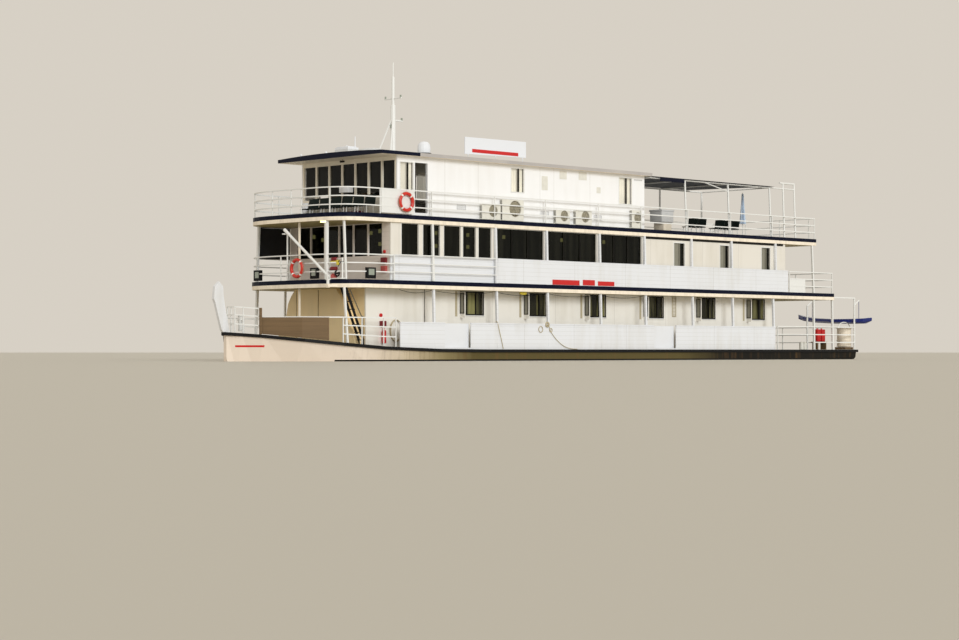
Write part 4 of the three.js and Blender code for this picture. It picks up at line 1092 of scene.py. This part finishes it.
canoeBoat = {
    "station": 28.04,
    "side": 1.74,
    "rim": 1.85,
    "half": 2.09,
    "breadth": 0.19,
    # along the canoe, share of the breadth, rise of the rim
    "rows": ((-1, 0.04, 0.24), (-0.82, 0.5, 0.14), (-0.5, 0.86, 0.055), (0, 1, 0), (0.5, 0.86, 0),
        (0.82, 0.5, 0.02), (1, 0.04, 0.06)),
    "gunwale": 0.014,
    "thwarts": (-0.42, 0.38),
}
canoeStation, canoeSide, rim, half, breadth = (
    canoeBoat[key] for key in ("station", "side", "rim", "half", "breadth"))
trims = [tube([at(canoeStation + edge * breadth * share, canoeSide + along * half, rim + rise + 0.004)
    for along, share, rise in canoeBoat["rows"]], canoeBoat["gunwale"]) for edge in (-1, 1)]
trims += [block(span(canoeStation, 0.158), span(canoeSide + along * half, 0.05), (rim - 0.006, rim + 0.012))
    for along in canoeBoat["thwarts"]]
finished(trims, "canoeGunwales", "rail")
print("canoe trimmed")


# Middle deck: a side post that leans inboard, three rail bars and the awning's navy board

midSide = {"post": ((1.305, 1.395), (3.012, 3.102), (2.99, 5.125)), "lean": 0.06, "leanFrom": 4,
    "stations": (-0.64, 4.66), "side": 3.08, "bars": (3.93, 3.615, 3.3), "radius": 0.021}
sidePost = rawBox(*shipBox(*midSide["post"]))
for vertex in sidePost.data.vertices:
    vertex.co.y -= midSide["lean"] * (vertex.co.z > sea + midSide["leanFrom"])
rounded(sidePost, 0.006)
sideBars = [rod(*(at(station, midSide["side"], level) for station in midSide["stations"]),
    midSide["radius"]) for level in midSide["bars"]]
finished(bothSides([sidePost] + sideBars), "midSideRail", "rail")
fascia = [block((14.3, 15.85), (2.985, 3.0), (7.48, 7.63)),
    rod(at(14.28, 2.992, 7.48), at(15.87, 2.992, 7.48), 0.011)]
fascia += copies(block((14.36, 14.4), (2.975, 3.006), (7.46, 7.645)), [(-0.7, 0, 0), (-1.4, 0, 0)])
finished(fascia, "awningFascia", "navy")


# Lamps hung in the saloon: place given as station, distance to port and level of the middle

saloonLamps = {
    "size": (0.045, 0.045, 0.07),
    "ceiling": 5.128,
    "wire": 0.005,
    "places": ((-0.2, -2.07, 4.79), (-0.2, -1.53, 4.65), (-0.2, 1.28, 4.81), (-0.2, 1.79, 4.86),
        (-0.2, 1.79, 4.38), (5.81, 2.3, 4.84), (9.09, 2.3, 4.84), (11.58, 2.3, 4.85), (3.86, 2.3, 4.85),
        (3.86, 2.3, 4.39), (2.18, 2.3, 4.86), (2.18, 2.3, 4.37)),
    "foreLamp": ((-3.02, -2.9), (1.7, 2.0), (5.07, 5.125)),
}
shades, wires = [block(*saloonLamps["foreLamp"], 0.01, 2)], []
for place in saloonLamps["places"]:
    station, side, level = place
    shades.append(block(*map(span, place, saloonLamps["size"]), 0.012, 2))
    wires.append(post(station, side, level + saloonLamps["size"][2], saloonLamps["ceiling"],
        saloonLamps["wire"], 6))
finished(shades, "saloonLampShades", "warmLamp")
finished(wires, "saloonLampWires", "grille")
print("lamps hung")


# Fittings on the saloon front and the lower wall

front, wall = -0.703, 2.423
louvre = [frameRing((15.7, 15.96), (wall, wall + 0.02), (1.82, 2.67), 1, 0.03),
    *stack(0.06, 13, (15.72, 15.94), (wall, wall + 0.014), (1.86, 1.885))]
fitAll({
    "alarmBells": ("red", rod(at(front, 2.64, 4.05), at(front - 0.05, 2.64, 4.05), 0.062, 24),
        rod(at(front - 0.05, 2.64, 4.05), at(front - 0.07, 2.64, 4.05), 0.02, 12),
        axle(-0.725, 1.7, wall, wall + 0.05, 0.07, 24),
        axle(-0.725, 1.7, wall + 0.05, wall + 0.07, 0.02, 12)),
    "fireBoxes": ("darkRed", block((front - 0.1, front), (2.5, 2.78), (3.62, 3.83), 0.01),
        block((front - 0.112, front - 0.1), (2.53, 2.75), (3.65, 3.8)),
        block((-0.78, -0.51), (wall, wall + 0.1), (1.27, 1.49), 0.01),
        block((-0.75, -0.54), (wall + 0.1, wall + 0.112), (1.3, 1.46))),
    "fadedFireBox": ("rose", block((front - 0.1, front), (2.5, 2.78), (3.28, 3.52), 0.01),
        block((front - 0.112, front - 0.1), (2.53, 2.75), (3.31, 3.49))),
    "fireBottle": ("red", post(-0.645, 2.53, 0.66, 1.1, 0.082, 24),
        dome(at(-0.645, 2.53, 1.1), 0.08, 0.06, 5, 24), post(-0.645, 2.53, 1.15, 1.23, 0.026, 12),
        block((-0.72, -0.6), (2.515, 2.545), (1.205, 1.225))),
    "fireHose": ("rope", tube(oval(0.005, 2.47, 1.135, 0.285, 0.4, 0.1963, 65, 0.022), 0.017),
        axle(-0.02, 1.52, wall, 2.53, 0.014)),
    "hangingRod": ("dark", post(1.45, 2.47, 1.36, 2.7, 0.011),
        block((1.4, 1.5), (wall, 2.48), (2.7, 2.72))),
    "hangingRodKnob": ("red", post(1.45, 2.47, 1.28, 1.36, 0.032, 14),
        dome(at(1.45, 2.47, 1.36), 0.032, 0.03, 4, 14)),
    # the louvre is beige all over: painted shade for the shadows among its slats
    "lowerWallLouvre": ("fin", *bothSides(louvre)),
    "foreStairHandrail": ("grille", post(-1.76, 2.62, 0.46, 1.66, 0.022),
        tube([at(-2.38, 2.62, 2.62), at(-1.83, 2.62, 1.66), at(-1.76, 2.62, 1.62)], 0.018)),
    "baySeams": ("seam", block((-1.868, -1.853), (0.18, 0.2), (0.5, 2.66)),
        block((-1.866, -1.853), (-1.1, -1.085), (0.5, 2.66))),
})
print("wall fittings made")


# Anchor winch on the middle deck's fore corner

station = -2.8
fitAll({
    "winchDrums": ("darkRed", axle(station, 3.72, 2.12, 2.36, 0.07, 24),
        axle(station, 3.38, 2.06, 2.36, 0.07, 24)),
    "winchYellowShaft": ("yellow", axle(station, 3.63, 2.05, 2.5, 0.045, 20),
        block(span(station, 0.05), (2.4, 2.5), (3.5, 3.68))),
    "winchWheel": ("black", ring(at(station, 2.4, 3.2), (0, 1, 0), 0.1, 0.028, 28, 8),
        axle(station, 3.2, 2.3, 2.48, 0.03, 16),
        tube([at(station, 2.45, 3.45), at(station, 2.6, 3.62), at(station, 2.74, 3.62)], 0.014)),
    "winchFrame": ("rail", *repeated((0, 0.71, 0), block(span(station, 0.03), (1.97, 2), (3, 3.76), 0.006)),
        block(span(station, 0.12), (1.95, 2.73), (2.99, 3.03), 0.008),
        axle(station, 3.72, 1.98, 2.7, 0.014)),
    "winchMotor": ("rose", block(span(station, 0.08), (2.05, 2.3), (3.03, 3.16), 0.012, 2),
        axle(station, 3.09, 2.0, 2.05, 0.05, 20), block(span(station, 0.04), (2.12, 2.22), (3.15, 3.2))),
})
print("winch made")


# Bulwark and wall plates, vents, cables and fenders

ventPlaces = ((2.82, 5.75), (7.38, 5.72), (10.46, 5.69))
festoon = {"stations": (-0.3, 1.35, 4.66, 7.48, 10.55, 13.29), "side": 2.97, "level": 2.66, "drop": 0.12}
bulwark, wall = (3.111, 3.118), (2.782, 2.79)
vents = [block((12.9, 13.4), (2.782, 2.795), (7.43, 7.48))]
for first, level in ventPlaces:
    vents.append(frameRing((first, first + 0.47), (2.782, 2.797), (level, level + 0.2), 1, 0.018))
    vents += stack(0.03, 5, (first + 0.01, first + 0.46), wall, (level + 0.03, level + 0.042))
hooks = [at(station, festoon["side"], festoon["level"]) for station in festoon["stations"]]
fenderLine = [at(4.58, 3.1, 1.512), at(4.6, 3.18, 1.5), at(4.7, 3.185, 1.15), at(4.82, 3.185, 0.78),
    at(4.91, 3.185, 0.46)]
fitAll({
    "bulwarkRedBars": ("red", block((7.71, 9.27), bulwark, (3.0, 3.2), 0.002),
        block((9.46, 10.17), bulwark, (3.01, 3.23), 0.002),
        block((10.35, 11.33), bulwark, (3.01, 3.19), 0.002)),
    "upperWallVents": ("shadeLid", *bothSides(vents)),
    "upperWallPlates": ("cooler", block((8.46, 8.87), wall, (7.24, 7.56), 0.002),
        block((9.57, 10.04), wall, (7.27, 7.59), 0.002), block((7.44, 7.78), wall, (6.75, 7.3), 0.002),
        block((10.63, 10.87), wall, (6.79, 7.03), 0.002)),
    "deckheadCable": ("black", *(tube(sagging(*hung, festoon["drop"]), 0.008, sides=2)
        for hung in zip(hooks, hooks[1:]))),
    "gangwayLamp": ("yellow", block((6.05, 6.39), (2.93, 3.0), (2.59, 2.68), 0.012, 2),
        block((6.1, 6.34), (2.95, 2.98), (2.575, 2.59))),
    "bulwarkRopes": ("rope", tube(fenderLine, 0.013),
        ring(at(6.98, 3.185, 1.225), (0, 1, 0), 0.115, 0.014, 32, 8),
        ring(at(7.55, 3.185, 1.2), (0, 1, 0), 0.07, 0.014, 28, 8),
        ring(at(7.345, 3.19, 1.42), (0, 1, 0), 0.085, 0.028, 28, 10),
        ring(at(7.345, 3.19, 1.42), (1, 0, 1), 0.05, 0.02, 24, 8)),
})
print("plates and ropes made")


# Upper after deck: folded parasol, locker and chairs under the awning

parasol = {"place": (21.46, 1.6), "levels": (6.03, 7.36), "core": 0.012, "widest": 0.15, "pleats": 10,
    "flat": (1.5, 1.5)}


def hoodPlace(around, up):  # pleats that open towards the hem
    turn = math.tau * around
    swell = 0.25 + 0.75 * (1 - up) ** 1.3
    reach = parasol["core"] + parasol["widest"] * swell * (0.56 + 0.4 * math.cos(parasol["pleats"] * turn))
    low, high = parasol["levels"]
    out = Vector((math.cos(turn), math.sin(turn), 0))
    return at(*parasol["place"], low + (high - low) * up) + reach * out


hood = finished([cloth(160, 16, hoodPlace)], "parasolHood", "shadeCloth", smooth=80)
fitAll({
    "parasolPole": ("rail", post(*parasol["place"], 5.48, 7.42, 0.02, 12),
        post(*parasol["place"], 5.43, 5.5, 0.22, 28, 0.17)),
    "deckLocker": ("shadeLid", block((15.38, 16.15), (1.45, 2.15), (5.83, 6.34), 0.05, 3),
        block((15.36, 16.17), (1.43, 2.17), (6.3, 6.38), 0.02, 2)),
    "deckLockerFoot": ("cream", block((15.57, 16.09), (1.52, 2.08), (5.43, 5.83), 0.02, 2),
        block((15.6, 16.06), (1.5, 1.52), (5.48, 5.78))),
})
afterChairs = {"stations": (17.6, 18.15, 19.4, 19.95, 20.4), "sides": (1.8,), "levels": (0.33, 0.7),
    "width": 0.54, "finish": "green"}
shellChairs("afterChair", **afterChairs)
print("upper after deck furnished")


# Lower after deck: cans, a barrel and a hoop

hoops = [ring(at(27.56, 2.62, level), (0, 0, 1), 0.325, 0.018, 40, 8) for level in (0.6, 0.86, 1.14, 1.41)]
fitAll({
    "paleCans": ("cooler", *repeated((-0.24, 0, 0), post(24.46, 2.55, 0.445, 0.76, 0.1, 20),
        post(24.46, 2.55, 0.76, 0.79, 0.05, 12))),
    "redCans": ("red", *repeated((-0.32, 0, 0), post(25.62, 2.55, 1.35, 1.41, 0.035, 12),
        block(span(25.62, 0.13), (2.42, 2.68), (0.8, 1.36), 0.03, 2))),
    "canBench": ("timber", block((25.4, 26.16), (2.36, 2.74), (0.75, 0.8)),
        *repeated((-0.62, 0, 0), block((25.44, 25.5), (2.4, 2.7), (0.445, 0.75)))),
    "afterBarrel": ("cream", post(27.56, 2.62, 0.56, 1.43, 0.32, 36), *hoops),
    "barrelPallet": ("timber", block((27.26, 27.86), (2.32, 2.92), (0.445, 0.555), 0.01)),
    "barrelHoop": ("rail", tube(oval(27.58, 2.62, 1.43, -0.45, 0.27, math.pi / 16, 17), 0.022),
        ring(at(27.58, 2.62, 1.45), (0, 0, 1), 0.4, 0.022, 48, 10)),
})
print("lower after deck furnished")


# Fore fittings: a bollard and a red locker before the wheelhouse

fitAll({
    "foreBollard": ("rail", post(-5.3, -0.08, 1.1, 1.66, 0.08, 24), post(-5.3, -0.08, 1.64, 1.68, 0.1, 24),
        axle(-5.3, 1.5, -0.23, 0.07, 0.03, 16)),
    "foreRedLocker": ("darkRed", block((-0.5, -0.27), (-0.45, 0.9), (5.43, 5.63), 0.012, 2),
        block((-0.515, -0.26), (-0.46, 0.91), (5.61, 5.65))),
})
print("fore fittings made")


# Stage

clear()
bpy.ops.mesh.primitive_plane_add(size=900, location=(0, 0, sea))
floor = bpy.context.object
floor.name = "studioFloor"
floor.data.materials.append(Finish(light["floorColour"][:3], 0.6).material)
print("stage set")
